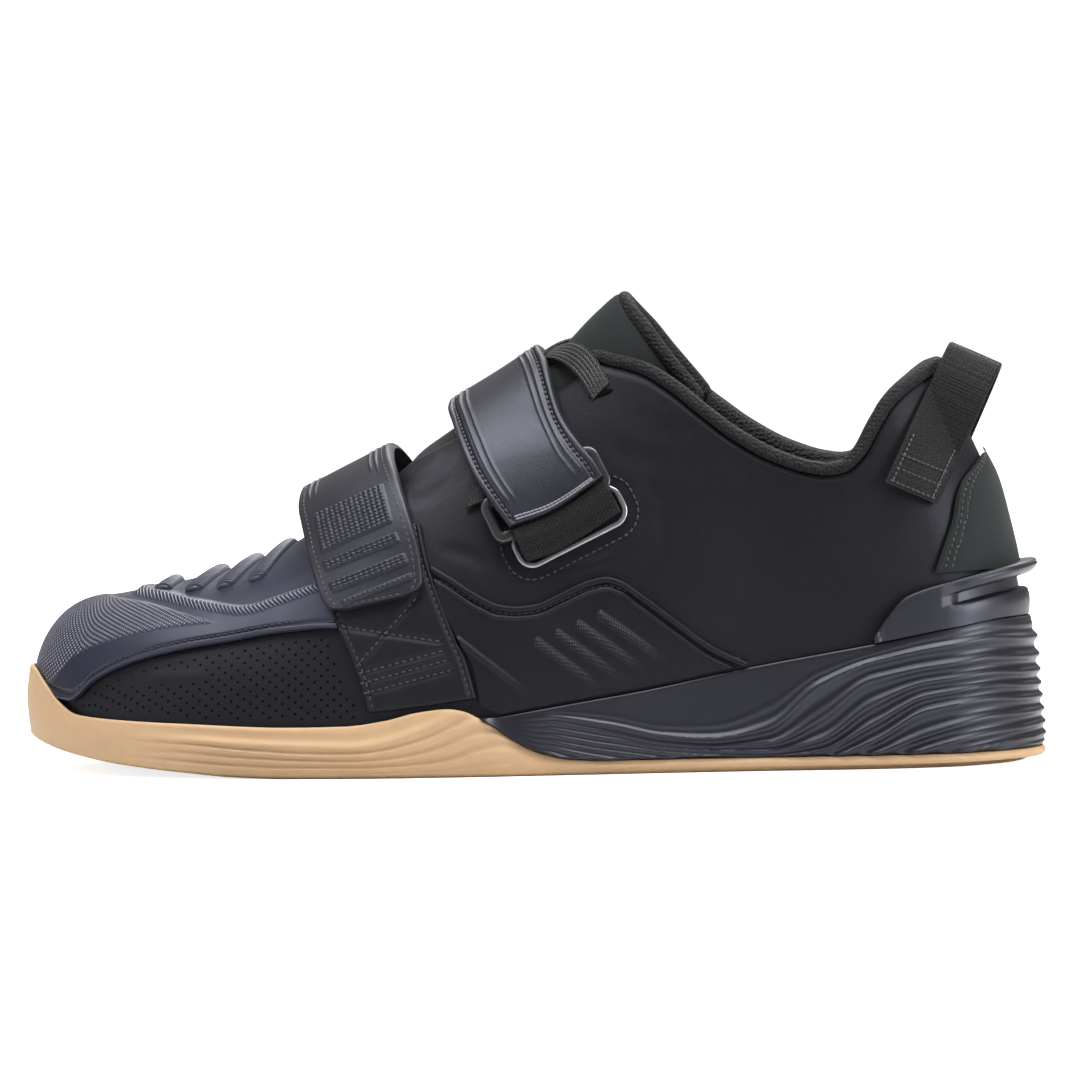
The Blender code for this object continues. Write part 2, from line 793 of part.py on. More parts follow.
def make_outsole():
    front_turns, back_turns = sole_turns()
    turns = np.concatenate([front_turns, back_turns[1:]])
    rim_inner = OVERLAY_GAP + CLEAR
    rings = []
    for out, lift in ((-SOLE_INSET, 0.0), (SOLE_FOOT, SOLE_FOOT_LIFT), (SOLE_CORNER, SOLE_ROUND)):
        rings.append(
            ring(turns, lambda t, s, out=out, lift=lift: outline(t, s, out, lambda x: underside(x) + lift))
        )
    levels = 2 * SOLE_RIBS + 1
    for k in range(levels):
        share = (k + 0.5) / levels
        groove = RIB_DEPTH if k % 2 else 0.0

        def level(x, share=share):
            low = underside(x) + SOLE_ROUND
            return low + (gum_rim(x) - low) * share

        def side_line(t, s, level=level, groove=groove):
            x = outline(t, s, 0.0, level)[..., 0]
            reach = np.where(along(x) < GROOVE_END, TOE_RIM, wedge_flare(x) - GUM_HEEL_IN)
            deepens = np.clip((along(x) - GROOVE_START) / (GROOVE_FULL - GROOVE_START), 0, 1)
            fades = np.clip((GROOVE_END - along(x)) / (GROOVE_END - GROOVE_FADE), 0, 1)
            taper = np.clip((gum_rim(x) - underside(x)) / SOLE_FULL_WALL, 0, 1)
            bulge = math.sin(math.pi * share) * SOLE_BULGE * taper
            return outline(t, s, reach + bulge - groove * deepens * fades, level)

        rings.append(ring(turns, side_line))

    def top_outer(t, s):
        x = outline(t, s, 0.0, gum_rim)[..., 0]
        reach = np.where(along(x) < WEDGE_START, TOE_RIM - SOLE_TOP_IN, wedge_flare(x) - FLARE_IN)
        return outline(t, s, reach, gum_rim)

    def top_inner(t, s):
        front = wall_line(t, s, rim_inner, gum_rim)
        back = outline(t, s, rim_inner, gum_rim)
        return np.where((along(back[..., :1]) < WEDGE_START), front, back)

    def bed_edge(t, s):
        x = outline(t, s, 0.0, gum_top)[..., 0]
        inset = np.where(along(x) < WEDGE_START, rim_inner, -BED_INSET)
        return outline(t, s, inset, gum_top)

    rings.append(ring(turns, top_outer))
    rings.append(ring(turns, top_inner))
    rings.append(ring(turns, bed_edge))
    loft("outsole", rings, GUM)


def make_heel_wedge():
    turns = sole_turns()[1]
    rings = [ring(turns, lambda t, s: outline(t, s, -WEDGE_INSET, wedge_seat))]
    levels = 2 * WEDGE_RIDGES + 1
    for k in range(levels):
        share = k / (levels - 1)
        groove = 0.0 if k % 2 else WEDGE_RIDGE_DEPTH

        def level(x, share=share):
            return wedge_seat(x) + (wedge_rim(x) - wedge_seat(x)) * share

        def side_line(t, s, level=level, share=share, groove=groove):
            x = outline(t, s, 0.0, level)[..., 0]
            lean = wedge_flare(x) * (1 - WEDGE_LEAN * share)
            fade = np.clip((along(x) - RIDGE_START) / (RIDGE_FULL - RIDGE_START), 0.15, 1)
            return outline(t, s, lean - groove * fade, level)

        rings.append(ring(turns, side_line))
    rings.append(ring(turns, lambda t, s: wall_line(t, s, OVERLAY_GAP, wedge_rim)))
    rings.append(ring(turns, lambda t, s: outline(t, s, OVERLAY_GAP, bed)))
    loft("heel_wedge", rings, BLACK_RUBBER)


def make_insole():
    turns = np.linspace(0, math.pi, 25)
    inset = -(UPPER_WALL + 2 * CLEAR)
    low = ring(turns, lambda t, s: outline(t, s, inset, lambda x: bed(x) + CLEAR))
    high = ring(turns, lambda t, s: outline(t, s, inset - INSOLE_LEAN, lambda x: bed(x) + CLEAR + INSOLE_THICKNESS))
    loft("insole", [low, high], KNIT)


def top_share(turn, side):
    """Share of the way up at which the leather ends: 1 on the vamp, less at throat and collar."""
    up = np.ones(np.shape(turn))
    for _ in range(12):
        x = bare_skin(turn, up, side)[..., 0]
        edge = np.where(side < 0, LATERAL_EDGE(turn), MEDIAL_EDGE(turn))
        half = np.abs(edge - RIDGE_LINE(turn))
        narrow = np.clip(THROAT_GAP(along(x)) / np.maximum(half, 1e-6), 0, 1)
        square = CROWN_SQUARE(along(x))
        throat = np.arccos(narrow ** (square / 2)) * 2 / math.pi
        throat = np.where(along(x) <= THROAT_START, 1.0, throat)
        throat = np.where(along(x) > THROAT[-1][0], 1.0, throat)
        collar = up_at(x, COLLAR_HEIGHT(along(x)) * HEEL_TOP)
        collar = np.where(along(x) < COLLAR[0][0], 1.0, collar)
        up = 0.5 * up + 0.5 * np.minimum(throat, collar)
    return np.where(up > 0.999, 1.0, up)


def upper_turns(count):
    return np.linspace(0, math.pi, count)


def make_upper():
    turns = upper_turns(41)
    rows = 8
    outer = []
    inner = []
    faces = []
    for side in (LATERAL, MEDIAL):
        tops = top_share(turns, side)
        ups = tops[:, None] * np.linspace(0, 1, rows)[None, :]
        grid = np.repeat(turns[:, None], rows, axis=1)
        faces += grid_faces(len(turns), rows, start=len(outer) * len(turns) * rows)
        outer.append(skin(grid, ups, side).reshape(-1, 3))
        inner.append(skin(grid, ups, side, -UPPER_WALL).reshape(-1, 3))
    slab("upper", np.concatenate(outer), np.concatenate(inner), faces, BLACK_LEATHER)


def make_tongue():
    rows = 15
    across = 9
    places = np.linspace(0, len(TONGUE) - 1, rows)
    read = {}
    for name in TONGUE_COLUMNS:
        read[name] = smooth(range(len(TONGUE)), column(TONGUE_COLUMNS, TONGUE, name))(places)
    sweep = np.linspace(-1, 1, across)
    wide = np.abs(sweep)[None, :]
    x = place(read["middle"][:, None] + (read["edge"] - read["middle"])[:, None] * wide**2)
    up = 1 - read["down"][:, None] * wide
    side = np.where(sweep < 0, LATERAL, MEDIAL)[None, :] * np.ones((rows, 1))
    sink = read["sink"][:, None] * wide**1.5 + read["crest"][:, None] * (1 - wide**1.5)
    outer = inside(x, up, side, sink).reshape(-1, 3)
    inner = inside(x, up, side, sink + TONGUE_THICKNESS).reshape(-1, 3)
    slab("tongue", outer, inner, grid_faces(rows, across), NUBUCK)


def band(name, rows, thickness, look, steps=2, across=5, columns=STRAP_COLUMNS):
    """A strap or patch over the skin, from a table with a row for each place that shapes it."""
    read = {key: np.array(column(columns, rows, key), float) for key in columns}
    edges = []
    for key in ("front", "back"):
        x = place(read[key])
        up = up_at(x, read[key + "_up"] * INSTEP_HEIGHT)
        edges.append((x, read["side"] * (1 - up), read[key + "_off"] * LIFT))
    count = (len(rows) - 1) * steps + 1
    at = np.linspace(0, len(rows) - 1, count)
    fine = [[smooth(range(len(rows)), values)(at) for values in edge] for edge in edges]
    mix = np.linspace(0, 1, across)[None, :]
    x, swing, off = (fine[0][k][:, None] * (1 - mix) + fine[1][k][:, None] * mix for k in range(3))
    side = np.where(swing < 0, LATERAL, MEDIAL)
    up = 1 - np.abs(swing)
    outer = on_skin(x, up, side, off + thickness).reshape(-1, 3)
    inner = on_skin(x, up, side, off).reshape(-1, 3)
    return slab(name, outer, inner, grid_faces(count, across), look)


def make_straps():
    band("front_strap", FRONT_STRAP, STRAP_THICKNESS, BLACK_LEATHER)
    band("instep_strap", INSTEP_STRAP, STRAP_THICKNESS, BLACK_LEATHER)
    band("front_strap_base", FRONT_STRAP_BASE, OVERLAY, BLACK_LEATHER)
    band("instep_strap_base", INSTEP_STRAP_BASE, OVERLAY, BLACK_LEATHER)
    band("instep_webbing", INSTEP_WEBBING, WEBBING, WEBBING_CLOTH)
    band("front_webbing", FRONT_WEBBING, WEBBING, WEBBING_CLOTH)


def rounded_path(reach, rise, corner, steps):
    """Corners of a rounded rectangle about the origin, anticlockwise."""
    points = []
    for k, (sx, sz) in enumerate(((1, -1), (1, 1), (-1, 1), (-1, -1))):
        for j in range(steps + 1):
            angle = math.radians(-90 + 90 * k + 90 * j / steps)
            points.append(
                (
                    sx * (reach - corner) + corner * math.cos(angle),
                    sz * (rise - corner) + corner * math.sin(angle),
                )
            )
    return np.array(points)


def make_loop(row):
    """A metal or moulded loop that lies on the skin."""
    read = dict(zip(LOOP_COLUMNS, row))
    tilt = math.radians(read["slope"])
    loops = []
    for inset in (0.0, read["wire"]):
        flat = rounded_path(read["reach"] - inset, read["rise"] - inset, max(LOOP_CORNER - inset, 0.0008), 3)
        x = place(read["x"]) + flat[:, 0] * math.cos(tilt) - flat[:, 1] * math.sin(tilt)
        z = read["up"] * INSTEP_HEIGHT + flat[:, 0] * math.sin(tilt) + flat[:, 1] * math.cos(tilt)
        loops.append((x, up_at(x, z)))
    count = len(loops[0][0])
    x = np.stack([np.append(line[0], line[0][0]) for line in loops])
    up = np.stack([np.append(line[1], line[1][0]) for line in loops])
    outer = on_skin(x, up, read["side"], read["off"] + read["deep"]).reshape(-1, 3)
    inner = on_skin(x, up, read["side"], read["off"]).reshape(-1, 3)
    look = BRIGHT_METAL if "frame" in read["name"] else DARK_METAL
    slab(read["name"], outer, inner, grid_faces(2, count + 1), look)


def make_laces():
    for number, row in enumerate(LACE, 1):
        read = dict(zip(LACE_COLUMNS, row))
        low = OVERLAY_GAP + read["layer"] * (LACE_THICKNESS + CLEAR)
        steps = 9
        swing = np.linspace(-1, 1, steps)
        middle = place((read["lateral"] * (1 - swing) + read["medial"] * (1 + swing)) / 2)
        down = []
        for share in (read["lateral"], read["medial"]):
            x = place(share)
            down.append(1 - float(up_at(x, crown(x) - EYELET_DROP * INSTEP_HEIGHT)))
        drop = np.where(swing < 0, down[0], down[1]) * np.abs(swing)
        x = middle[:, None] + np.array([-0.5, 0.5])[None, :] * LACE_WIDTH
        up = (1 - drop)[:, None] * np.ones((1, 2))
        side = np.where(swing < 0, LATERAL, MEDIAL)[:, None] * np.ones((1, 2))
        outer = on_skin(x, up, side, low + LACE_THICKNESS).reshape(-1, 3)
        inner = on_skin(x, up, side, low).reshape(-1, 3)
        slab(f"lace_crossing_{number}", outer, inner, grid_faces(steps, 2), WEBBING_CLOTH)


def cap_grid(along_steps, share, side):
    """Turns and ups over the toe cap: share runs from its lower border up to the ridge."""
    border = table_curve(CAP_COLUMNS, CAP_BORDER, "border")
    steps = np.linspace(0, 1, along_steps)
    low = np.zeros(along_steps)
    for _ in range(8):
        turns = steps * turn_at(place(CAP_END), low)
        x = bare_skin(turns, low, side)[..., 0]
        low = up_at(x, border(along(x)) * INSTEP_HEIGHT)
    ups = low[:, None] + (1 - low)[:, None] * share[None, :]
    return steps[:, None] * turn_at(place(CAP_END), ups), ups


def make_toe_cap():
    share = np.array([0, 0.03, 0.07, 0.24, 0.43, 0.62, 0.81, 1.0])
    bead = np.array([0, 1.0, 0, 0, 0, 0, 0, 0]) * PIPING
    steps = 17
    outer = []
    inner = []
    faces = []
    for side in (LATERAL, MEDIAL):
        turns, ups = cap_grid(steps, share, side)
        faces += grid_faces(steps, len(share), start=len(outer) * turns.size)
        off = (OVERLAY_GAP + OVERLAY + bead)[None, :] * np.ones((steps, 1))
        outer.append(skin(turns, ups, side, off).reshape(-1, 3))
        inner.append(skin(turns, ups, side, OVERLAY_GAP).reshape(-1, 3))
    slab("toe_cap", np.concatenate(outer), np.concatenate(inner), faces, TOE_FILM)


def make_toe_ribs():
    for number, row in enumerate(TOE_RIBS, 1):
        read = dict(zip(RIB_COLUMNS, row))
        steps = 7
        swing = np.linspace(-1, 1, steps)
        middle = place(read["ridge"] + (read["end"] - read["ridge"]) * np.abs(swing))
        x = middle[:, None] + np.array([-0.5, 0.0, 0.5])[None, :] * TOE_RIB_WIDTH
        up = (1 - read["down"] * np.abs(swing))[:, None] * np.ones((1, 3))
        side = np.where(swing < 0, LATERAL, MEDIAL)[:, None] * np.ones((1, 3))
        low = OVERLAY_GAP + OVERLAY + CLEAR
        high = np.array([TOE_RIB_EDGE, 1.0, TOE_RIB_EDGE])[None, :] * TOE_RIB_HEIGHT * np.ones((steps, 1))
        high[[0, -1]] *= TOE_RIB_END
        outer = on_skin(x, up, side, low + high).reshape(-1, 3)
        inner = on_skin(x, up, side, low).reshape(-1, 3)
        slab(f"toe_rib_{number}", outer, inner, grid_faces(steps, 3), TOE_FILM)


def make_side_panels():
    border = table_curve(PANEL_COLUMNS, PANEL_BORDER, "border")
    x = place(np.linspace(PANEL_START, PANEL_END, 14))[:, None]
    share = np.array([0, 0.35, 0.7, 1.0])[None, :]
    rim = np.where(along(x) < WEDGE[0][0], gum_rim(x), np.maximum(wedge_rim(x), joint(x)))
    low = up_at(x, rim + PANEL_FOOT_GAP)
    high = up_at(x, border(along(x)) * INSTEP_HEIGHT)
    up = low + (np.maximum(high, low + 0.01) - low) * share
    for side, name in ((LATERAL, "side_panel_lateral"), (MEDIAL, "side_panel_medial")):
        outer = on_skin(x, up, side, OVERLAY_GAP + OVERLAY).reshape(-1, 3)
        inner = on_skin(x, up, side, OVERLAY_GAP).reshape(-1, 3)
        slab(name, outer, inner, grid_faces(14, 4), BLACK_LEATHER)


def heel_arc(front, up, count):
    """Angles along the outline from the lateral place at front, round the heel, and their sides."""
    start = float(turn_at(front, up))
    half = np.linspace(start, math.pi, count)
    turns = np.concatenate([half, half[::-1][1:]])
    sides = np.concatenate([np.full(count, LATERAL), np.full(count - 1, MEDIAL)])
    return turns, sides


def make_heel_clip():
    count = 10
    turns, sides = heel_arc(place(CLIP_START), 0.1, count)
    edge = table_curve(CLIP_COLUMNS, CLIP_EDGE, "height")
    level = np.array(column(LEVEL_COLUMNS, CLIP_LEVELS, "level"))[None, :]
    side_off = np.array(column(LEVEL_COLUMNS, CLIP_LEVELS, "side_off"))[None, :]
    back_off = np.array(column(LEVEL_COLUMNS, CLIP_LEVELS, "back_off"))[None, :]
    grid = np.repeat(turns[:, None], level.shape[1], axis=1)
    side = np.repeat(sides[:, None], level.shape[1], axis=1)
    up = np.full(grid.shape, 0.1)
    for _ in range(8):
        x = bare_skin(grid, up, side)[..., 0]
        low = wedge_rim(x) + CLEAR
        high = np.maximum(edge(along(x)) * HEEL_TOP, low + CLIP_LEAST)
        up = up_at(x, low + (high - low) * level)
    past_start = along(bare_skin(grid, up, side)[..., 0]) - SLOT_START
    toward_back = np.clip(past_start / BACK_FADE, 0, 1)
    toward_back = toward_back * toward_back * (3 - 2 * toward_back)
    slot = np.clip(past_start / SLOT_FADE, 0, 1)
    plain = side_off[:, :1]
    off = plain + (side_off + (back_off - side_off) * toward_back - plain) * slot
    outer = skin(grid, up, side, off).reshape(-1, 3)
    inner = skin(grid, up, side, OVERLAY_GAP).reshape(-1, 3)
    slab("heel_clip", outer, inner, grid_faces(*grid.shape), BLACK_RUBBER)


def make_heel_patch():
    rows = 6
    columns = 13
    edge = table_curve(PATCH_COLUMNS, PATCH_EDGE, "edge")
    heights = np.linspace(PATCH_EDGE[0][0], PATCH_TOP, rows) * HEEL_TOP
    outer = []
    inner = []
    for height in heights:
        front = place(float(edge(height / HEEL_TOP)))
        up = float(up_at(front, height))
        turns, sides = heel_arc(front, up, (columns + 1) // 2)
        ups = np.full(len(turns), up)
        for _ in range(4):
            ups = up_at(bare_skin(turns, ups, sides)[..., 0], height)
        outer.append(skin(turns, ups, sides, PATCH_GAP + OVERLAY))
        inner.append(skin(turns, ups, sides, PATCH_GAP))
    slab("heel_patch", np.concatenate(outer), np.concatenate(inner), grid_faces(rows, columns), NUBUCK)


def make_collar_roll():
    """A padded knit roll that sits on the leather's top edge and lines its inner face."""
    paths = []
    for side in (LATERAL, MEDIAL):
        turns = upper_turns(41)
        tops = top_share(turns, side)
        x = bare_skin(turns, tops, side)[..., 0]
        keep = along(x) > ROLL_START
        paths.append((turns[keep], tops[keep], np.full(keep.sum(), side)))
    turns = np.concatenate([paths[0][0], paths[1][0][::-1][1:]])
    ups = np.concatenate([paths[0][1], paths[1][1][::-1][1:]])
    sides = np.concatenate([paths[0][2], paths[1][2][::-1][1:]])
    edge = skin(turns, ups, sides)
    normal = skin(turns, ups, sides, 0.001) - edge
    normal /= np.linalg.norm(normal, axis=-1, keepdims=True)
    below = bare_skin(turns, ups - 0.01, sides)
    upward = edge - below
    along_edge = np.gradient(edge, axis=0)
    along_edge /= np.linalg.norm(along_edge, axis=-1, keepdims=True)
    upward -= along_edge * (upward * along_edge).sum(-1, keepdims=True)
    upward -= normal * (upward * normal).sum(-1, keepdims=True)
    upward /= np.linalg.norm(upward, axis=-1, keepdims=True)
    shape = np.array(ROLL_SECTION) * ROLL
    ends = np.minimum(np.arange(len(turns)), np.arange(len(turns))[::-1])
    full = np.clip((ends + 0.6) / 4.0, 0, 1)
    pad_base = -UPPER_WALL - 2 * CLEAR
    share_per_metre = 0.01 / np.linalg.norm(edge - below, axis=-1)
    rings = []
    for k in range(len(turns)):
        local = shape.copy()
        inward = local[:, 0] < pad_base
        local[inward, 0] = pad_base + (local[inward, 0] - pad_base) * full[k]
        lower = local[:, 1] < 0
        local[lower, 1] *= 0.35 + 0.65 * full[k]
        points = edge[k] + normal[k] * local[:, :1] + upward[k] * local[:, 1:]
        depth = ups[k] + local[:, 1] * share_per_metre[k]
        hanging = skin(np.full(len(local), turns[k]), depth, sides[k], local[:, 0])
        rings.append(np.where(lower[:, None], hanging, points))
    count = len(shape)
    faces = []
    for i in range(len(rings) - 1):
        for j in range(count):
            a = i * count + j
            b = i * count + (j + 1) % count
            faces.append((a, b, b + count, a + count))
    faces.append(tuple(range(count)))
    faces.append(tuple(range((len(rings) - 1) * count, len(rings) * count)))
    finish("collar_roll", np.concatenate(rings), faces, KNIT)


def skin_half_width(x, z):
    """Distance of the skin from the middle plane at a place in side view, 0 outside it."""
    up = up_at(x, z)
    share = (x - front_at(up)) / (back_at(z) - front_at(up))
    inside = share < 0.999
    points = on_skin(np.where(inside, x, 0.0), up, LATERAL, LOOP_THICKNESS)
    return np.where(inside, np.abs(points[..., 1]), 0.0)


def make_pull_loop():
    """Webbing that rises from the lateral side, arches over the heel's top and falls on the medial."""
    arch = smooth(column(PULL_COLUMNS, PULL_ARCH, "rise"), column(PULL_COLUMNS, PULL_ARCH, "spread"))
    half = 1 - (1 - np.linspace(0, 1, 10)) ** 1.8
    rises = np.concatenate([half, half[::-1][1:]])
    sides = np.concatenate([np.full(10, LATERAL), np.full(9, MEDIAL)])
    tilt = math.radians(PULL_TILT)
    width = np.array([-0.5, 0.5]) * LOOP_WIDTH
    foot = np.array([place(PULL_FOOT[0]), PULL_FOOT[1] * HEEL_TOP])
    grids = []
    for thick in (0.0, LOOP_THICKNESS):
        rise = rises * (LOOP_RISE - (0.0 if thick else LOOP_THICKNESS))
        x = foot[0] + rise[:, None] * math.sin(tilt) + width[None, :] * math.cos(tilt)
        z = foot[1] + rise[:, None] * math.cos(tilt) - width[None, :] * math.sin(tilt)
        spread = arch(rises)[:, None] * BALL_WIDTH - (0.0 if thick else LOOP_THICKNESS)
        spread = np.maximum(spread, 0.0)
        wall = skin_half_width(x, z) + (CLEAR + LOOP_THICKNESS if thick else CLEAR)
        leg = np.clip((COLLAR_HEIGHT(along(x)) * HEEL_TOP + 2 * ROLL - z) / ROLL, 0, 1)
        y = np.maximum(spread, wall * leg)
        grids.append(np.stack([x, y * sides[:, None], z], axis=-1).reshape(-1, 3))
    slab("pull_loop", grids[1], grids[0], grid_faces(len(rises), 2), WEBBING_CLOTH)


def main():
    for leftover in list(bpy.data.objects):
        bpy.data.objects.remove(leftover, do_unlink=True)
    make_outsole()
    make_heel_wedge()
    make_insole()
    make_upper()
    make_tongue()
    make_collar_roll()
    make_toe_cap()
    make_toe_ribs()
    make_side_panels()
    make_straps()
    for row in LOOPS:
        make_loop(row)
    make_laces()
    make_heel_clip()
    make_heel_patch()
    make_pull_loop()


main()
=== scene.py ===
"""Looks of a weightlifting shoe for the left foot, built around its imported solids.

The toe points to -X, the heel to +X and up is +Z. The lateral (outer) side of the foot is -Y.
Lengths are in metres. The skin of the last is worked out as in the part, from the same tables.
"""

import math

import bmesh
import bpy
import numpy as np
from mathutils import Matrix, Vector


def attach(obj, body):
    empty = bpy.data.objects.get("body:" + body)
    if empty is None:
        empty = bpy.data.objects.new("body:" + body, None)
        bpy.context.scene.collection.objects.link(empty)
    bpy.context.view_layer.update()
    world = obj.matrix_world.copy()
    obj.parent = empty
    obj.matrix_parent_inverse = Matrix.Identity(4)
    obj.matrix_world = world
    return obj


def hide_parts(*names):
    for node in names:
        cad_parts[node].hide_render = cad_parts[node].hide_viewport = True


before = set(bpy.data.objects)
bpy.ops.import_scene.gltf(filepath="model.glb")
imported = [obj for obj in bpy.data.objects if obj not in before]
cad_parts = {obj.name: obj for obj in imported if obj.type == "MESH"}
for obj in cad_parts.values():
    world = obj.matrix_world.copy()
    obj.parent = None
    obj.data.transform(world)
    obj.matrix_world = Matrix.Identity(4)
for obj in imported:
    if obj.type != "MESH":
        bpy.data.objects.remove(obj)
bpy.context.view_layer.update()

# Driving sizes
LENGTH = 0.300
BALL_WIDTH = 0.100
INSTEP_HEIGHT = 0.143
HEEL_TOP = 0.115
HEEL_SEAT = 0.0335
HEEL_RIM = 0.0425
UPPER_WALL = 0.0022
TOE_RIM = 0.0030
HEEL_FLARE = 0.0085
TOE_ROUND = 0.022
TOE_SQUARE = 2.5
INSOLE_THICKNESS = 0.004
TONGUE_THICKNESS = 0.0042
OVERLAY = 0.0013
STRAP_THICKNESS = 0.0026
RING_WIRE = 0.0030
RING_THICKNESS = 0.0022
FRAME_WIRE = 0.0017
FRAME_THICKNESS = 0.0014
WEBBING = 0.0013
LACE_WIDTH = 0.0050
LACE_THICKNESS = 0.0007
LOOP_WIDTH = 0.0165
LOOP_THICKNESS = 0.0016
CLEAR = 0.0003
OVERLAY_GAP = 0.0006

# Shaping of the gum sole and of the heel wedge
SOLE_ROUND = 0.0016
SOLE_FULL_WALL = 0.0120
GUM_HEEL_IN = 0.0008
BED_INSET = 0.0020
WEDGE_LEAN = 0.42

# Ends of the last at the feather line, and the two sides
TOE_X = TOE_RIM - LENGTH / 2
HEEL_X = LENGTH / 2 - HEEL_FLARE
LATERAL = -1
MEDIAL = 1

# Outline of the last at the feather line. share: along the upper; the others: sideways, in BALL_WIDTH
OUTLINE_COLUMNS = ("share", "lateral", "medial", "ridge")
OUTLINE = (
    (0.00, 0.090, 0.090, 0.090),
    (0.03, -0.140, 0.280, 0.086),
    (0.08, -0.285, 0.385, 0.080),
    (0.15, -0.395, 0.445, 0.068),
    (0.22, -0.455, 0.475, 0.056),
    (0.30, -0.495, 0.490, 0.044),
    (0.36, -0.505, 0.475, 0.032),
    (0.45, -0.490, 0.425, 0.015),
    (0.55, -0.450, 0.365, 0.002),
    (0.65, -0.405, 0.320, 0.000),
    (0.75, -0.368, 0.308, 0.000),
    (0.85, -0.345, 0.315, 0.000),
    (0.93, -0.290, 0.270, 0.000),
    (0.98, -0.165, 0.155, 0.000),
    (1.00, 0.000, 0.000, 0.000),
)

# Crown of the last from the side. share: along LENGTH from the toe; height: of INSTEP_HEIGHT;
# square: how square the section is (2 is an ellipse)
CROWN_COLUMNS = ("share", "height", "square")
CROWN = (
    (0.010, 0.332, 2.50),
    (0.080, 0.343, 2.50),
    (0.140, 0.364, 2.45),
    (0.177, 0.380, 2.40),
    (0.217, 0.402, 2.35),
    (0.253, 0.430, 2.35),
    (0.277, 0.458, 2.30),
    (0.300, 0.493, 2.25),
    (0.333, 0.552, 2.20),
    (0.367, 0.615, 2.10),
    (0.390, 0.661, 2.02),
    (0.410, 0.689, 1.98),
    (0.500, 0.804, 1.84),
    (0.532, 0.853, 1.78),
    (0.588, 1.003, 1.70),
    (0.617, 1.063, 1.70),
    (0.667, 1.133, 1.75),
    (0.733, 1.168, 1.85),
    (0.967, 1.175, 2.10),
)

# Foot bed, in HEEL_SEAT, and the rounded front of the sole's underside, in TOE_SPRING
BED_COLUMNS = ("share", "bed")
BED = (
    (0.010, 0.463),
    (0.040, 0.388),
    (0.080, 0.328),
    (0.177, 0.275),
    (0.300, 0.257),
    (0.350, 0.275),
    (0.400, 0.328),
    (0.450, 0.406),
    (0.480, 0.454),
    (0.610, 0.612),
    (0.717, 0.746),
    (0.840, 0.896),
    (0.917, 0.970),
    (0.970, 1.000),
)
TOE_SPRING = 0.0100
SPRING_COLUMNS = ("share", "under")
SPRING = (
    (0.000, 1.00),
    (0.020, 0.83),
    (0.040, 0.68),
    (0.080, 0.46),
    (0.133, 0.27),
    (0.177, 0.15),
    (0.217, 0.05),
    (0.260, 0.00),
)

# Upper edge of the gum rubber and of the black heel wedge, both in HEEL_RIM
RIM_COLUMNS = ("share", "gum")
RIM = (
    (0.000, 0.730),
    (0.012, 0.705),
    (0.024, 0.620),
    (0.040, 0.500),
    (0.060, 0.415),
    (0.090, 0.395),
    (0.180, 0.372),
    (0.270, 0.352),
    (0.330, 0.358),
    (0.370, 0.395),
    (0.400, 0.446),
    (0.430, 0.468),
    (0.455, 0.462),
    (0.478, 0.410),
)
WEDGE_START = 0.478
JOINT_COLUMNS = ("share", "height")
JOINT = (
    (WEDGE_START, 0.325),
    (0.490, 0.262),
    (0.502, 0.208),
    (0.522, 0.148),
    (0.545, 0.112),
    (0.580, 0.098),
    (1.000, 0.098),
)
WEDGE_COLUMNS = ("share", "height", "flare")
WEDGE = (
    (WEDGE_START, 0.405, 0.42),
    (0.540, 0.478, 0.46),
    (0.620, 0.570, 0.50),
    (0.717, 0.706, 0.56),
    (0.840, 0.855, 0.66),
    (0.910, 0.945, 0.80),
    (0.960, 0.995, 0.95),
    (1.000, 0.985, 1.00),
)

# Heel seen from the side. height: of HEEL_TOP; lean: how far the wall leans in, of LENGTH
LEAN_COLUMNS = ("height", "lean")
LEAN = (
    (0.30, 0.000),
    (0.40, 0.001),
    (0.50, 0.006),
    (0.62, 0.016),
    (0.70, 0.024),
    (0.74, 0.030),
    (0.81, 0.042),
    (0.87, 0.052),
    (0.93, 0.062),
    (1.00, 0.070),
    (1.10, 0.076),
)

# Top edge of the leather around the ankle, in HEEL_TOP, and the throat's half gap, in BALL_WIDTH
COLLAR_COLUMNS = ("share", "height")
COLLAR = (
    (0.500, 1.150),
    (0.553, 1.040),
    (0.576, 1.022),
    (0.612, 0.998),
    (0.640, 0.955),
    (0.671, 0.890),
    (0.700, 0.832),
    (0.740, 0.773),
    (0.779, 0.740),
    (0.795, 0.735),
    (0.812, 0.742),
    (0.832, 0.785),
    (0.849, 0.862),
    (0.860, 0.905),
    (0.880, 0.952),
    (0.903, 0.988),
    (0.930, 1.000),
)
THROAT_START = 0.300
THROAT_COLUMNS = ("share", "gap")
THROAT = (
    (0.300, 0.000),
    (0.310, 0.075),
    (0.327, 0.115),
    (0.350, 0.145),
    (0.390, 0.165),
    (0.500, 0.175),
    (0.576, 0.185),
    (0.700, 0.170),
)

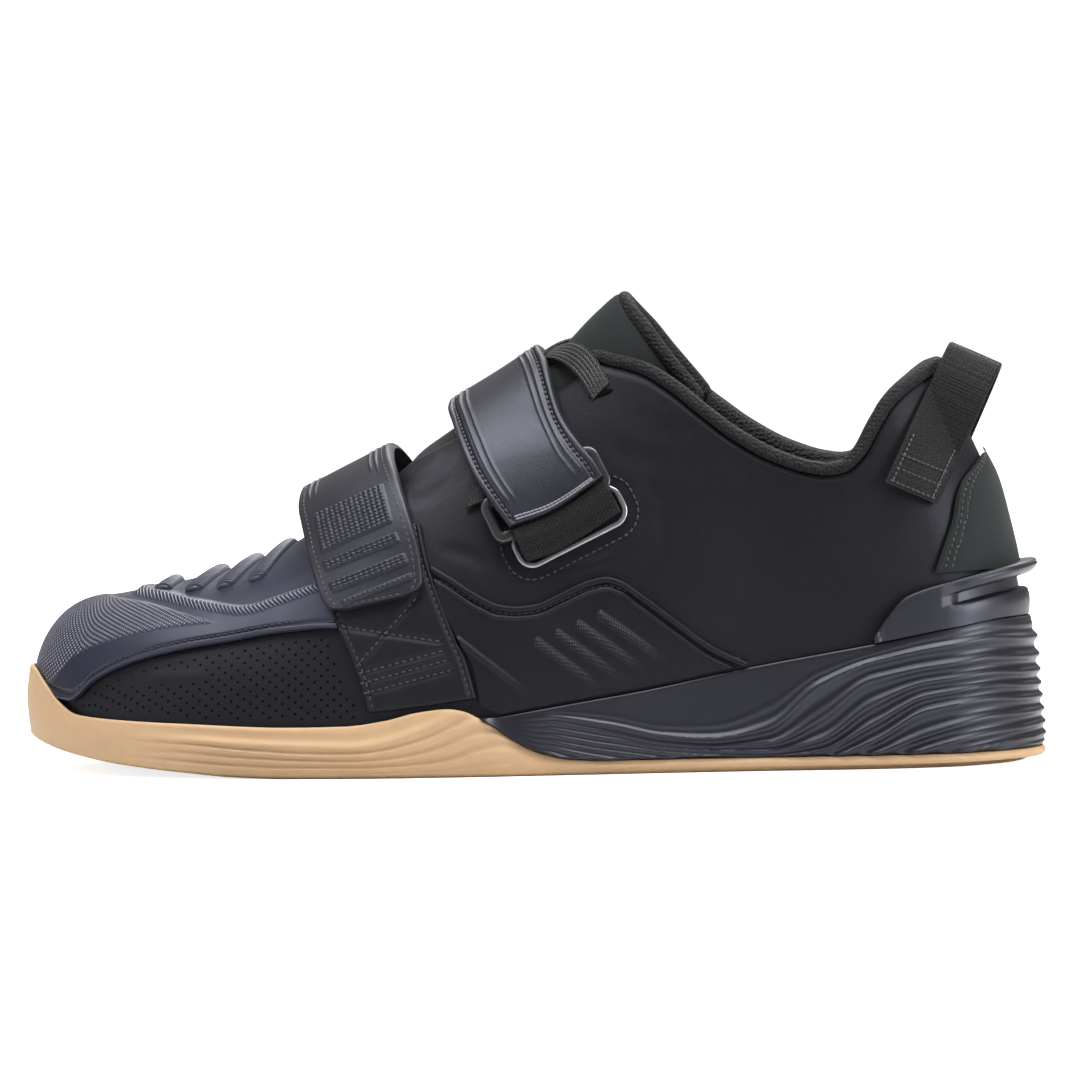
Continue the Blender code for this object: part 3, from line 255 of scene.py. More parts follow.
# Straps, lateral end to medial end, one row for each place that shapes them. front and back are
# the strap's edges: share along LENGTH, height of INSTEP_HEIGHT (1.3 stands for the ridge), and
# how far the strap's underside stands off the skin, in LIFT
LIFT = 0.010
STRAP_COLUMNS = ("side", "front", "front_up", "back", "back_up", "front_off", "back_off")
FRONT_STRAP = (
    (-1, 0.325, 0.325, 0.397, 0.360, 0.19, 0.19),
    (-1, 0.313, 0.343, 0.407, 0.388, 0.19, 0.19),
    (-1, 0.303, 0.392, 0.405, 0.434, 0.23, 0.21),
    (-1, 0.297, 0.437, 0.397, 0.497, 0.40, 0.28),
    (-1, 0.296, 0.470, 0.387, 0.567, 0.75, 0.32),
    (-1, 0.299, 0.487, 0.378, 0.619, 0.98, 0.34),
    (-1, 0.303, 1.300, 0.375, 1.300, 1.09, 0.34),
    (1, 0.302, 0.487, 0.378, 0.619, 0.95, 0.34),
    (1, 0.302, 0.465, 0.387, 0.560, 0.72, 0.40),
    (1, 0.307, 0.420, 0.397, 0.490, 0.54, 0.50),
    (1, 0.315, 0.364, 0.405, 0.427, 0.50, 0.50),
    (1, 0.322, 0.315, 0.410, 0.378, 0.49, 0.49),
)
INSTEP_STRAP = (
    (-1, 0.490, 0.487, 0.582, 0.589, 0.53, 0.53),
    (-1, 0.475, 0.528, 0.575, 0.615, 0.54, 0.54),
    (-1, 0.455, 0.591, 0.560, 0.654, 0.50, 0.50),
    (-1, 0.437, 0.675, 0.540, 0.720, 0.32, 0.32),
    (-1, 0.430, 0.706, 0.527, 0.804, 0.28, 0.28),
    (-1, 0.430, 1.300, 0.518, 1.300, 0.27, 0.27),
    (1, 0.432, 0.696, 0.528, 0.783, 0.28, 0.28),
    (1, 0.443, 0.615, 0.543, 0.685, 0.26, 0.26),
    (1, 0.457, 0.531, 0.555, 0.601, 0.23, 0.23),
    (1, 0.467, 0.462, 0.562, 0.524, 0.19, 0.19),
    (1, 0.477, 0.434, 0.552, 0.493, 0.19, 0.19),
)
FRONT_STRAP_BASE = (
    (-1, 0.353, 0.133, 0.458, 0.158, 0.05, 0.05),
    (-1, 0.345, 0.200, 0.447, 0.240, 0.05, 0.05),
    (-1, 0.332, 0.266, 0.438, 0.280, 0.05, 0.05),
    (-1, 0.318, 0.325, 0.422, 0.364, 0.05, 0.05),
    (-1, 0.307, 0.378, 0.410, 0.440, 0.05, 0.05),
    (-1, 0.303, 0.430, 0.403, 0.505, 0.05, 0.05),
)
INSTEP_STRAP_BASE = (
    (1, 0.475, 0.378, 0.570, 0.430, 0.05, 0.05),
    (1, 0.468, 0.420, 0.573, 0.476, 0.05, 0.05),
    (1, 0.462, 0.476, 0.570, 0.545, 0.05, 0.05),
    (1, 0.453, 0.560, 0.560, 0.630, 0.05, 0.05),
)
INSTEP_WEBBING = (
    (-1, 0.4910, 0.483, 0.5827, 0.585, 0.52, 0.52),
    (-1, 0.4955, 0.465, 0.5872, 0.566, 0.52, 0.52),
    (-1, 0.5005, 0.444, 0.5922, 0.545, 0.28, 0.28),
    (-1, 0.5055, 0.425, 0.5972, 0.524, 0.25, 0.25),
)
FRONT_WEBBING = (
    (1, 0.3227, 0.309, 0.4107, 0.372, 0.49, 0.49),
    (1, 0.3257, 0.291, 0.4137, 0.354, 0.49, 0.49),
    (1, 0.3293, 0.268, 0.4173, 0.331, 0.28, 0.28),
    (1, 0.3330, 0.246, 0.4210, 0.309, 0.25, 0.25),
)

# Loops of the strap hardware. x, up: centre; reach, rise: half sizes; slope: of the long side
LOOP_COLUMNS = ("name", "side", "x", "up", "reach", "rise", "slope", "off", "wire", "deep")
LOOPS = (
    ("instep_ring", -1, 0.525, 0.557, 0.0190, 0.0068, 27.0, 0.0022, RING_WIRE, RING_THICKNESS),
    ("front_ring", 1, 0.360, 0.381, 0.0190, 0.0068, 18.0, 0.0024, RING_WIRE, RING_THICKNESS),
    ("instep_slot_frame", -1, 0.547, 0.497, 0.0175, 0.0063, 26.0, OVERLAY_GAP, FRAME_WIRE, FRAME_THICKNESS),
    ("front_slot_frame", 1, 0.373, 0.298, 0.0175, 0.0063, 18.0, OVERLAY_GAP, FRAME_WIRE, FRAME_THICKNESS),
)
LOOP_CORNER = 0.0035
FRAME_CORNER = 0.0050

# Lace crossings: share along LENGTH where each leaves the lateral and the medial eyestay, and its layer
LACE_COLUMNS = ("lateral", "medial", "layer")
LACE = (
    (0.576, 0.455, 0),
    (0.455, 0.576, 1),
    (0.484, 0.455, 0),
    (0.480, 0.490, 1),
)

# Lower border of the toe cap, and the raised side panel's upper border, in INSTEP_HEIGHT
CAP_END = 0.297
CAP_COLUMNS = ("share", "border")
CAP_BORDER = (
    (0.010, 0.202),
    (0.040, 0.152),
    (0.056, 0.148),
    (0.066, 0.161),
    (0.077, 0.184),
    (0.100, 0.212),
    (0.127, 0.233),
    (0.173, 0.256),
    (0.220, 0.273),
    (0.263, 0.290),
    (0.304, 0.300),
)
PANEL_START = 0.462
PANEL_END = 0.716
PANEL_BORDER = (
    (0.462, 0.363),
    (0.480, 0.346),
    (0.495, 0.342),
    (0.513, 0.345),
    (0.531, 0.360),
    (0.565, 0.391),
    (0.582, 0.398),
    (0.596, 0.390),
    (0.617, 0.361),
    (0.652, 0.305),
    (0.686, 0.253),
    (0.716, 0.222),
)
PANEL_FOOT_GAP = 0.0010

# Heel clip: its top edge in HEEL_TOP and, on the wall at the back, how far each level stands off
# the skin. Its slot fades in over SLOT_FADE of LENGTH, and its lip over BACK_FADE
CLIP_START = 0.836
SLOT_START = 0.90
SLOT_FADE = 0.02
BACK_FADE = 0.06
CLIP_LEAST = 0.0006
CLIP_COLUMNS = ("share", "height")
CLIP_EDGE = (
    (0.836, 0.326),
    (0.846, 0.364),
    (0.856, 0.400),
    (0.866, 0.427),
    (0.880, 0.444),
    (0.910, 0.466),
    (0.940, 0.486),
    (0.970, 0.502),
    (1.000, 0.517),
)
LEVEL_COLUMNS = ("level", "side_off", "back_off")
CLIP_LEVELS = (
    (0.00, 0.0030, 0.0034),
    (0.28, 0.0030, 0.0038),
    (0.46, 0.0027, 0.0033),
    (0.52, 0.0016, 0.0014),
    (0.70, 0.0016, 0.0018),
    (0.76, 0.0024, 0.0052),
    (0.90, 0.0023, 0.0074),
    (1.00, 0.0015, 0.0066),
)

# Nubuck patch on the heel: share along LENGTH of its front edge at each height, of HEEL_TOP
PATCH_COLUMNS = ("height", "edge")
PATCH_EDGE = (
    (0.520, 0.900),
    (0.560, 0.905),
    (0.620, 0.912),
    (0.670, 0.915),
    (0.710, 0.920),
    (0.750, 0.931),
    (0.800, 0.943),
)
PATCH_TOP = 0.800
PATCH_GAP = 0.0009

# Tongue rows, toe end to top: share along LENGTH on its middle and at its edges, how far down the
# section the edges lie, and the depth inside the skin at the edges (sink) and on the middle (crest)
TONGUE_COLUMNS = ("middle", "edge", "down", "sink", "crest")
TONGUE = (
    (0.285, 0.290, 0.34, 0.0030, 0.0030),
    (0.350, 0.350, 0.34, 0.0030, 0.0030),
    (0.430, 0.430, 0.34, 0.0032, 0.0024),
    (0.500, 0.505, 0.36, 0.0038, 0.0014),
    (0.540, 0.560, 0.40, 0.0060, 0.0004),
    (0.575, 0.622, 0.45, 0.0095, 0.0026),
    (0.594, 0.668, 0.50, 0.0115, 0.0050),
)

# Row of TONGUE where its knit binding starts
BINDING_START = 3.6

# Section of the collar roll, seen along the edge: outwards from the leather's outer face, and up
# from the leather's edge, both in ROLL
ROLL = 0.0042
ROLL_SECTION = (
    (0.05, 0.10),
    (0.22, 0.42),
    (0.12, 0.80),
    (-0.35, 1.05),
    (-1.05, 1.00),
    (-1.70, 0.55),
    (-1.98, -0.35),
    (-1.90, -1.70),
    (-1.35, -3.20),
    (-0.78, -4.20),
    (-0.66, -2.50),
    (-0.62, 0.10),
)
ROLL_START = 0.553

# Pull loop, an arch over the heel's top. PULL_FOOT: share along LENGTH, and height of HEEL_TOP.
# rise: of LOOP_RISE along the arch; spread: of BALL_WIDTH
LOOP_RISE = 0.0430
PULL_FOOT = (0.8755, 0.6914)
PULL_TILT = 24.5
PULL_COLUMNS = ("rise", "spread")
PULL_ARCH = (
    (0.00, 0.180),
    (0.25, 0.175),
    (0.50, 0.165),
    (0.72, 0.150),
    (0.86, 0.125),
    (0.95, 0.085),
    (0.99, 0.040),
    (1.00, 0.000),
)

# The gum wall's upper edge between its hump and the heel wedge's seat, share along and height in HEEL_RIM
GUM_FALL = ((0.445, 0.450), (0.460, 0.400))
BLOCK_START = 0.461

# Flowing ridges of the gum wall. One row for each station: height of each line, as a share of the wall
GUM_STATIONS = (0.10, 0.175, 0.245, 0.31, 0.345, 0.38, 0.415, 0.435, 0.455, 0.478, 0.50)
GUM_FLOW = (
    (-0.10, 0.10, 0.28, 0.44, 0.60, 1.05),
    (-0.08, 0.13, 0.30, 0.52, 0.64, 1.03),
    (-0.06, 0.12, 0.29, 0.46, 0.62, 1.00),
    (-0.05, 0.11, 0.25, 0.39, 0.57, 0.98),
    (-0.04, 0.10, 0.23, 0.39, 0.54, 0.95),
    (-0.03, 0.11, 0.24, 0.42, 0.60, 1.00),
    (-0.02, 0.13, 0.31, 0.52, 0.74, 1.15),
    (0.00, 0.18, 0.40, 0.66, 0.90, 1.30),
    (0.02, 0.30, 0.60, 0.88, 1.10, 1.45),
    (0.10, 0.50, 0.85, 1.10, 1.30, 1.60),
    (0.30, 0.80, 1.10, 1.30, 1.50, 1.80),
)
# The same for the heel wedge, front to back
BLOCK_STATIONS = (0.53, 0.585, 0.635, 0.685, 0.735, 0.785, 0.835, 0.885, 0.935, 0.985)
BLOCK_FLOW = (
    (-0.50, -0.20, 0.05, 0.18, 0.30, 0.42, 0.55, 0.68, 0.80, 0.96),
    (-0.60, -0.40, -0.15, 0.02, 0.12, 0.22, 0.33, 0.42, 0.53, 0.74),
    (-0.75, -0.55, -0.33, -0.12, 0.00, 0.08, 0.15, 0.21, 0.30, 0.50),
    (-0.85, -0.65, -0.45, -0.25, -0.08, 0.02, 0.08, 0.13, 0.22, 0.44),
    (-0.90, -0.70, -0.50, -0.30, -0.12, 0.00, 0.06, 0.14, 0.31, 0.60),
    (-0.80, -0.60, -0.40, -0.20, -0.05, 0.04, 0.15, 0.37, 0.70, 0.86),
    (-0.50, -0.35, -0.15, 0.00, 0.12, 0.28, 0.46, 0.68, 0.85, 0.94),
    (-0.20, -0.08, 0.04, 0.16, 0.36, 0.48, 0.59, 0.71, 0.87, 0.975),
    (-0.03, 0.04, 0.13, 0.26, 0.40, 0.50, 0.59, 0.71, 0.86, 0.98),
    (0.03, 0.10, 0.19, 0.28, 0.37, 0.46, 0.57, 0.69, 0.83, 0.95),
)

# The chevron ridge on the toe and the upper and lower border of the raised field under it, seen from
# the side in millimetres: x, z
CHEVRON = (
    (-117.8, 51.2), (-112.8, 50.5), (-106.1, 49.8), (-100.2, 48.9), (-94.4, 48.0), (-86.6, 47.2),
    (-82.7, 46.9), (-78.8, 47.4), (-71.0, 49.8), (-60.0, 53.5), (-56.0, 54.9),
)
FIELD_TOP = (
    (-149.0, 47.0), (-141.0, 49.5), (-136.0, 50.6), (-130.7, 50.4), (-122.7, 49.0), (-112.7, 48.3),
    (-99.3, 45.8), (-88.6, 43.6),
)
FIELD_FOOT = (
    (-149.0, 8.0), (-145.0, 13.0), (-141.0, 23.0), (-136.6, 29.1), (-132.6, 33.0), (-127.9, 35.6),
    (-121.2, 37.8), (-111.2, 40.3), (-97.8, 42.4), (-88.6, 43.2),
)

# Rear end of the toe film, under the strap, in millimetres: x, z
CAP_REAR = (
    (-52.6, 41.0), (-52.8, 43.5), (-53.8, 46.5), (-55.4, 50.5), (-56.8, 55.0), (-57.8, 62.0), (-59.0, 90.0)
)

# Wear creases of the upper: line in millimetres, half width and height in metres, below 0 a trough
CREASES = (
    (((22, 99), (29, 93), (38, 90), (50, 90)), 0.0060, -0.0002),
    (((30, 104), (40, 99), (52, 98)), 0.0060, -0.0002),
    (((60, 92), (68, 85), (74, 76), (76, 64)), 0.0090, -0.0002),
    (((98, 84), (102, 75), (104, 62)), 0.0080, -0.0002),
    (((108, 88), (112, 78), (112, 66)), 0.0080, 0.0002),
    (((-34, 78), (-28, 80), (-20, 86), (-16, 92)), 0.0034, -0.0006),
    (((-36, 84), (-30, 87), (-24, 92)), 0.0030, 0.0005),
    (((-24, 66), (-16, 64), (-8, 60)), 0.0034, -0.0004),
    (((2, 61), (10, 59), (22, 61), (34, 67)), 0.0026, -0.0005),
    (((35, 60), (41, 66), (41, 76), (36, 86)), 0.0034, -0.0004),
    (((-120, 27), (-105, 29), (-90, 30)), 0.0030, 0.0003),
)

# Camera: where it aims, its turn from the lateral side, its rise and its roll in degrees, its
# distance in metres and its lens in millimetres
CAMERA_AIM = (0.0022, 0.0, 0.0655)
CAMERA_TURN = 5.0
CAMERA_RISE = 3.3
CAMERA_ROLL = -1.0
CAMERA_AWAY = 4.0
CAMERA_LENS = 457.0
# Softboxes: name, place, size and power in watts
SOFTBOXES = (
    ("top", (0.00, -0.10, 1.20), (1.4, 0.7), 34.0),
    ("front left", (-1.30, -0.80, 0.75), (0.6, 0.9), 5.0),
    ("right", (1.40, -0.50, 0.45), (0.5, 0.9), 20.0),
    ("back", (0.20, 1.00, 0.90), (1.2, 0.6), 12.0),
)
# Strength of the sky, and of the glow of the floor
SKY = 0.30
FLOOR_GLOW = 0.80

# Grip pads on the front strap, corners from the top front, seen from the side in millimetres
GRIP_PADS = (
    ((-59.9, 72.9), (-39.9, 82.4), (-36.6, 72.1), (-57.1, 63.1)),
    ((-56.7, 60.2), (-35.6, 68.8), (-34.4, 66.8), (-55.4, 57.7)),
    ((-54.6, 54.8), (-33.3, 63.1), (-32.1, 61.0), (-53.6, 52.2)),
    ((-50.9, 50.1), (-31.3, 57.9), (-30.9, 56.9), (-50.5, 48.9)),
)
# Rows of dashes on each grip pad
GRIP_ROWS = (11, 3, 3, 1)
# Seams of the front strap's stitched base: a cross and three rows
PATCH_SEAMS = (
    ((-52.0, 43.5), (-22.8, 39.0)),
    ((-47.5, 31.8), (-29.8, 51.5)),
    ((-47.0, 30.0), (-22.0, 36.5)),
    ((-46.5, 27.2), (-20.8, 33.8)),
    ((-45.6, 24.4), (-19.6, 31.0)),
)

# Side panel: its upper border in front of the solid's, share along and height in INSTEP_HEIGHT, and
# its front edge behind the strap's base, seen from the side in millimetres
PANEL_LEAD = ((0.405, 0.435), (0.434, 0.400))
PANEL_FRONT = ((-11.2, 17.0), (-13.8, 31.9), (-16.8, 37.5), (-22.4, 48.7), (-25.6, 60.0), (-26.0, 63.0))
# Fading bars and the short ridge on the lateral panel, in millimetres: both ends of each, x and z
FADING_BARS = (
    ((3.7, 39.2), (24.4, 23.8)),
    ((9.6, 41.5), (30.6, 26.3)),
    ((15.5, 44.0), (37.0, 28.8)),
    ((21.8, 46.6), (43.2, 31.3)),
)
SHORT_RIDGE = ((-17.8, 39.4), (-12.0, 34.8), (4.0, 22.2))

# Perforated leather: pitch along a row, pitch of the rows and their count, gaps above and below the
# field, its first and last place, and the sloping line that ends it
HOLE_PITCH = 0.0038
HOLE_ROW = 0.0017
HOLE_ROWS = 16
HOLE_TOP_GAP = 0.0030
HOLE_FOOT_GAP = 0.0020
HOLES_FROM = -0.130
HOLES_TO = -0.044
HOLES_END = (-0.0575, 0.042, 0.45)

# Heel clip's slot, as shares of its height and along LENGTH
SLOT_LOW = 0.47
SLOT_HIGH = 0.72
SLOT_FRONT = 0.912
SLOT_DEPTH = 0.0009
LIP_HEIGHT = 0.0004

# Pitch of the ribs of the pull tape, of the toe bars and of the chevron ridge, and the ridge's length
TAPE_RIB = 0.00100
BAR_TOOTH = 0.0009
CHEVRON_TOOTH = 0.0013
CHEVRON_LENGTH = 0.065

# Lace: how far below the crown it ends, in INSTEP_HEIGHT, how deep its ends dip, how much higher its
# middle is, the ends of its slot in side view, x and z, and the slot's length, width and height
LACE_DROP = 0.205
LACE_DIP = 0.0009
LACE_CROWN = 0.00025
EYELET_SLOT = ((0.0191, 0.1080), (0.0264, 0.1103))
SLOT_SIZE = (0.0078, 0.0022, 0.0005)

# Toe film: how far it stands off the skin, its piping, the seam inside it, its chevron ridge and the
# height and the rounding of its raised field
FILM_LIFT = OVERLAY_GAP + OVERLAY * 0.7
PIPING_HALF = 0.0008
PIPING_HEIGHT = 0.0007
FILM_SEAM = 0.0024
SEAM_HALF = 0.0010
SEAM_DEPTH = 0.0006
CHEVRON_HALF = 0.0016
CHEVRON_HEIGHT = 0.0011
FIELD_HEIGHT = 0.0004
FIELD_EDGE = 0.0007

# Toe bars: width, height, the height of their teeth and how their middle line bends back
BAR_WIDTH = 0.00567
BAR_HEIGHT = 0.0017
BAR_TEETH = 0.0006
BAR_BEND = 1.25

# Sole: height of the ridges of the gum and of the wedge, how far the wedge's front lies back, and how
# far apart the wedge's lines lie where its ridges reach their full height
GUM_RIDGE = 0.00085
BLOCK_RIDGE = 0.0014
BLOCK_BACK = 0.0011
ROOM_APART = 0.0048

# Seams: distance inside the edge on straps, patches, slot frames (outside them), panels, clip and heel
# patch; the panels' edge bead and second line, and half the width of their fading bars; the pitch of
# the pale rows at the instep strap's end
STRAP_SEAM = 0.0022
BASE_SEAM = 0.0018
FRAME_SEAM = 0.0030
PANEL_SEAM = 0.0024
PANEL_BEAD = 0.0010
PANEL_LINE = 0.0036
FADING_HALF = 0.0017
CLIP_SEAM = 0.0022
PATCH_ROWS = (0.0020, 0.0042)
END_ROWS = (0.0018, 0.0033)
SEAM_PITCH = 0.0012
# Ridge lines inside a strap's edges: distance inside and height
STRAP_LINES = ((0.0042, 0.00032), (0.0062, 0.00028))

# Ribbed bars over the toe: share along LENGTH at the ridge and at the ends, and how far down they reach
BAR_COLUMNS = ("ridge", "end", "down")
TOE_BARS = (
    (0.148, 0.140, 0.17),
    (0.194, 0.173, 0.25),
    (0.229, 0.205, 0.29),
    (0.262, 0.238, 0.31),
)


def smooth(places, heights):
    """A monotone cubic curve through the points, level past its ends."""
    places = np.array(places, float)
    heights = np.array(heights, float)
    steps = np.diff(places)
    rises = np.diff(heights) / steps
    slopes = np.zeros(len(places))
    slopes[0] = rises[0]
    slopes[-1] = rises[-1]
    for i in range(1, len(places) - 1):
        if rises[i - 1] * rises[i] > 0:
            ahead = 2 * steps[i] + steps[i - 1]
            behind = steps[i] + 2 * steps[i - 1]
            slopes[i] = (ahead + behind) / (ahead / rises[i - 1] + behind / rises[i])

    def curve(x):
        x = np.clip(x, places[0], places[-1])
        i = np.clip(np.searchsorted(places, x) - 1, 0, len(steps) - 1)
        t = (x - places[i]) / steps[i]
        bow = steps[i] * t * (1 - t)
        line = heights[i] * (1 - t) + heights[i + 1] * t
        start = slopes[i] - rises[i]
        end = slopes[i + 1] - rises[i]
        return line + bow * (start * (1 - t) - end * t)

    return curve


def column(columns, rows, name):
    return [row[columns.index(name)] for row in rows]


def table_curve(columns, rows, name):
    return smooth(column(columns, rows, columns[0]), column(columns, rows, name))


def turned(share):
    """The angle along an outline, 0 at the toe and pi at the heel, for a share of its length."""
    return np.arccos(np.clip(1 - 2 * np.asarray(share, float), -1, 1))


OUTLINE_ANGLES = turned(column(OUTLINE_COLUMNS, OUTLINE, "share"))
LATERAL_EDGE = smooth(OUTLINE_ANGLES, column(OUTLINE_COLUMNS, OUTLINE, "lateral"))
MEDIAL_EDGE = smooth(OUTLINE_ANGLES, column(OUTLINE_COLUMNS, OUTLINE, "medial"))
RIDGE_LINE = smooth(OUTLINE_ANGLES, column(OUTLINE_COLUMNS, OUTLINE, "ridge"))
CROWN_HEIGHT = table_curve(CROWN_COLUMNS, CROWN, "height")
CROWN_SQUARE = table_curve(CROWN_COLUMNS, CROWN, "square")
BED_HEIGHT = table_curve(BED_COLUMNS, BED, "bed")
LEAN_IN = table_curve(LEAN_COLUMNS, LEAN, "lean")
COLLAR_HEIGHT = table_curve(COLLAR_COLUMNS, COLLAR, "height")
THROAT_GAP = table_curve(THROAT_COLUMNS, THROAT, "gap")


def along(x):
    """Share of LENGTH at x, from the toe."""
    return x / LENGTH + 0.5


def place(share):
    return (share - 0.5) * LENGTH


def bed(x):
    return BED_HEIGHT(along(x)) * HEEL_SEAT


def feather(x):
    return bed(x) + CLEAR


def crown(x):
    return CROWN_HEIGHT(along(x)) * INSTEP_HEIGHT


def front_at(up):
    """x of the toe wall at a share of the way up."""
    return TOE_X + TOE_ROUND * (1 - np.cos(up * math.pi / 2) ** (2 / TOE_SQUARE))


def back_at(z):
    """x of the heel wall at height z."""
    return HEEL_X - LEAN_IN(z / HEEL_TOP) * LENGTH


def height_at(x, up):
    rise = np.sin(up * math.pi / 2) ** (2 / CROWN_SQUARE(along(x)))
    return feather(x) + (crown(x) - feather(x)) * rise


def up_at(x, z):
    """Share of the way up the section at x that reaches height z."""
    rise = np.clip((z - feather(x)) / (crown(x) - feather(x)), 0, 1)
    return np.arcsin(rise ** (CROWN_SQUARE(along(x)) / 2)) * 2 / math.pi


def turn_at(x, up):
    """Angle along the outline of the place at x, a share of the way up."""
    back = back_at(height_at(x, up))
    front = front_at(up)
    return turned((x - front) / (back - front))


def bare_skin(turn, up, side):
    share = (1 - np.cos(turn)) / 2
    front = front_at(up)
    x = front + share * (HEEL_X - front)
    for _ in range(5):
        x = front + share * (back_at(height_at(x, up)) - front)
    ridge = RIDGE_LINE(turn)
    edge = np.where(side < 0, LATERAL_EDGE(turn), MEDIAL_EDGE(turn))
    narrow = np.cos(up * math.pi / 2) ** (2 / CROWN_SQUARE(along(x)))
    y = (ridge + (edge - ridge) * narrow) * BALL_WIDTH
    return np.stack([x, y, height_at(x, up)], axis=-1)


def skin_normal(turn, up, side):
    step = 0.002
    turn = np.clip(turn, 2 * step, math.pi - 2 * step)
    up = np.clip(up, step, 1 - 2 * step)
    forward = bare_skin(turn + step, up, side) - bare_skin(turn - step, up, side)
    upward = bare_skin(turn, up + step, side) - bare_skin(turn, up - step, side)
    normal = np.cross(forward, upward) * -np.asarray(side)[..., None]
    return normal / np.linalg.norm(normal, axis=-1, keepdims=True)


def skin(turn, up, side, out=0.0):
    """Points of the skin moved outwards by out, for arrays of places."""
    turn, up, side, out = np.broadcast_arrays(*(np.asarray(v, float) for v in (turn, up, side, out)))
    normal = skin_normal(turn, up, side)
    other = skin_normal(turn, up, -side)
    seam = (turn < 1e-6) | (turn > math.pi - 1e-6) | (up > 1 - 1e-6)
    middle = (normal + other) * (1.0, 0.0, 1.0)
    middle /= np.linalg.norm(middle, axis=-1, keepdims=True)
    normal = np.where(seam[..., None], middle, normal)
    return bare_skin(turn, up, side) + normal * out[..., None]


def on_skin(x, up, side, out=0.0):
    return skin(turn_at(x, up), up, side, out)


def inside(x, up, side, depth):
    """Points of the section at x shrunk towards its foot, about depth inside the skin."""
    points = on_skin(x, up, side)
    half = np.where(side < 0, -LATERAL_EDGE(turn_at(x, up)), MEDIAL_EDGE(turn_at(x, up))) * BALL_WIDTH
    foot = feather(x)
    slope = (crown(x + CLEAR) - crown(x - CLEAR)) / (2 * CLEAR)
    points[..., 1] *= 1 - depth / half
    points[..., 2] = foot + (points[..., 2] - foot) * (1 - depth * np.hypot(1, slope) / (crown(x) - foot))
    return points


def outline(turn, side, out, height):
    """The feather line moved outwards by out, at the height that height(x) gives."""
    points = skin(turn, 0.0, side, out)
    points[..., 2] = height(points[..., 0])
    return points


def wall_line(turn, side, out, height):
    """The line where the skin, moved outwards by out, reaches the height that height(x) gives."""
    up = np.zeros(np.shape(turn))
    for _ in range(6):
        x = bare_skin(turn, up, side)[..., 0]
        up = up_at(x, height(x))
    points = skin(turn, up, side, out)
    points[..., 2] = height(points[..., 0])
    return points


def ring(turns, line):
    """A closed ring from line(turns, side), lateral side first."""
    lateral = line(turns, LATERAL)
    medial = line(turns, MEDIAL)
    return np.concatenate([lateral, medial[::-1]])


def underside(x):
    return table_curve(SPRING_COLUMNS, SPRING, "under")(along(x)) * TOE_SPRING


def joint(x):
    """Height of the face between the gum sole and the heel wedge."""
    return table_curve(JOINT_COLUMNS, JOINT, "height")(along(x)) * HEEL_RIM


def gum_rim(x):
    rim = table_curve(RIM_COLUMNS, RIM, "gum")(along(x)) * HEEL_RIM
    return np.where(along(x) < RIM[-1][0], rim, joint(x))


def wedge_rim(x):
    return table_curve(WEDGE_COLUMNS, WEDGE, "height")(along(x)) * HEEL_RIM


def wedge_flare(x):
    return table_curve(WEDGE_COLUMNS, WEDGE, "flare")(along(x)) * HEEL_FLARE


def top_share(turn, side):
    """Share of the way up at which the leather ends: 1 on the vamp, less at throat and collar."""
    up = np.ones(np.shape(turn))
    for _ in range(12):
        x = bare_skin(turn, up, side)[..., 0]
        edge = np.where(side < 0, LATERAL_EDGE(turn), MEDIAL_EDGE(turn))
        half = np.abs(edge - RIDGE_LINE(turn))
        narrow = np.clip(THROAT_GAP(along(x)) / np.maximum(half, 1e-6), 0, 1)
        square = CROWN_SQUARE(along(x))
        throat = np.arccos(narrow ** (square / 2)) * 2 / math.pi
        throat = np.where(along(x) <= THROAT_START, 1.0, throat)
        throat = np.where(along(x) > THROAT[-1][0], 1.0, throat)
        collar = up_at(x, COLLAR_HEIGHT(along(x)) * HEEL_TOP)
        collar = np.where(along(x) < COLLAR[0][0], 1.0, collar)
        up = 0.5 * up + 0.5 * np.minimum(throat, collar)
    return np.where(up > 0.999, 1.0, up)


def upper_turns(count):
    return np.linspace(0, math.pi, count)


def rounded_path(reach, rise, corner, steps):
    """Corners of a rounded rectangle about the origin, anticlockwise."""
    points = []
    for k, (sx, sz) in enumerate(((1, -1), (1, 1), (-1, 1), (-1, -1))):
        for j in range(steps + 1):
            angle = math.radians(-90 + 90 * k + 90 * j / steps)
            points.append(
                (
                    sx * (reach - corner) + corner * math.cos(angle),
                    sz * (rise - corner) + corner * math.sin(angle),
                )
            )
    return np.array(points)


def heel_arc(front, up, count):
    """Angles along the outline from the lateral place at front, round the heel, and their sides."""
    start = float(turn_at(front, up))
    half = np.linspace(start, math.pi, count)
    turns = np.concatenate([half, half[::-1][1:]])
    sides = np.concatenate([np.full(count, LATERAL), np.full(count - 1, MEDIAL)])
    return turns, sides


def skin_half_width(x, z):
    """Distance of the skin from the middle plane at a place in side view, 0 outside it."""
    up = up_at(x, z)
    share = (x - front_at(up)) / (back_at(z) - front_at(up))
    inside = share < 0.999
    points = on_skin(np.where(inside, x, 0.0), up, LATERAL, LOOP_THICKNESS)
    return np.where(inside, np.abs(points[..., 1]), 0.0)


# Meshes


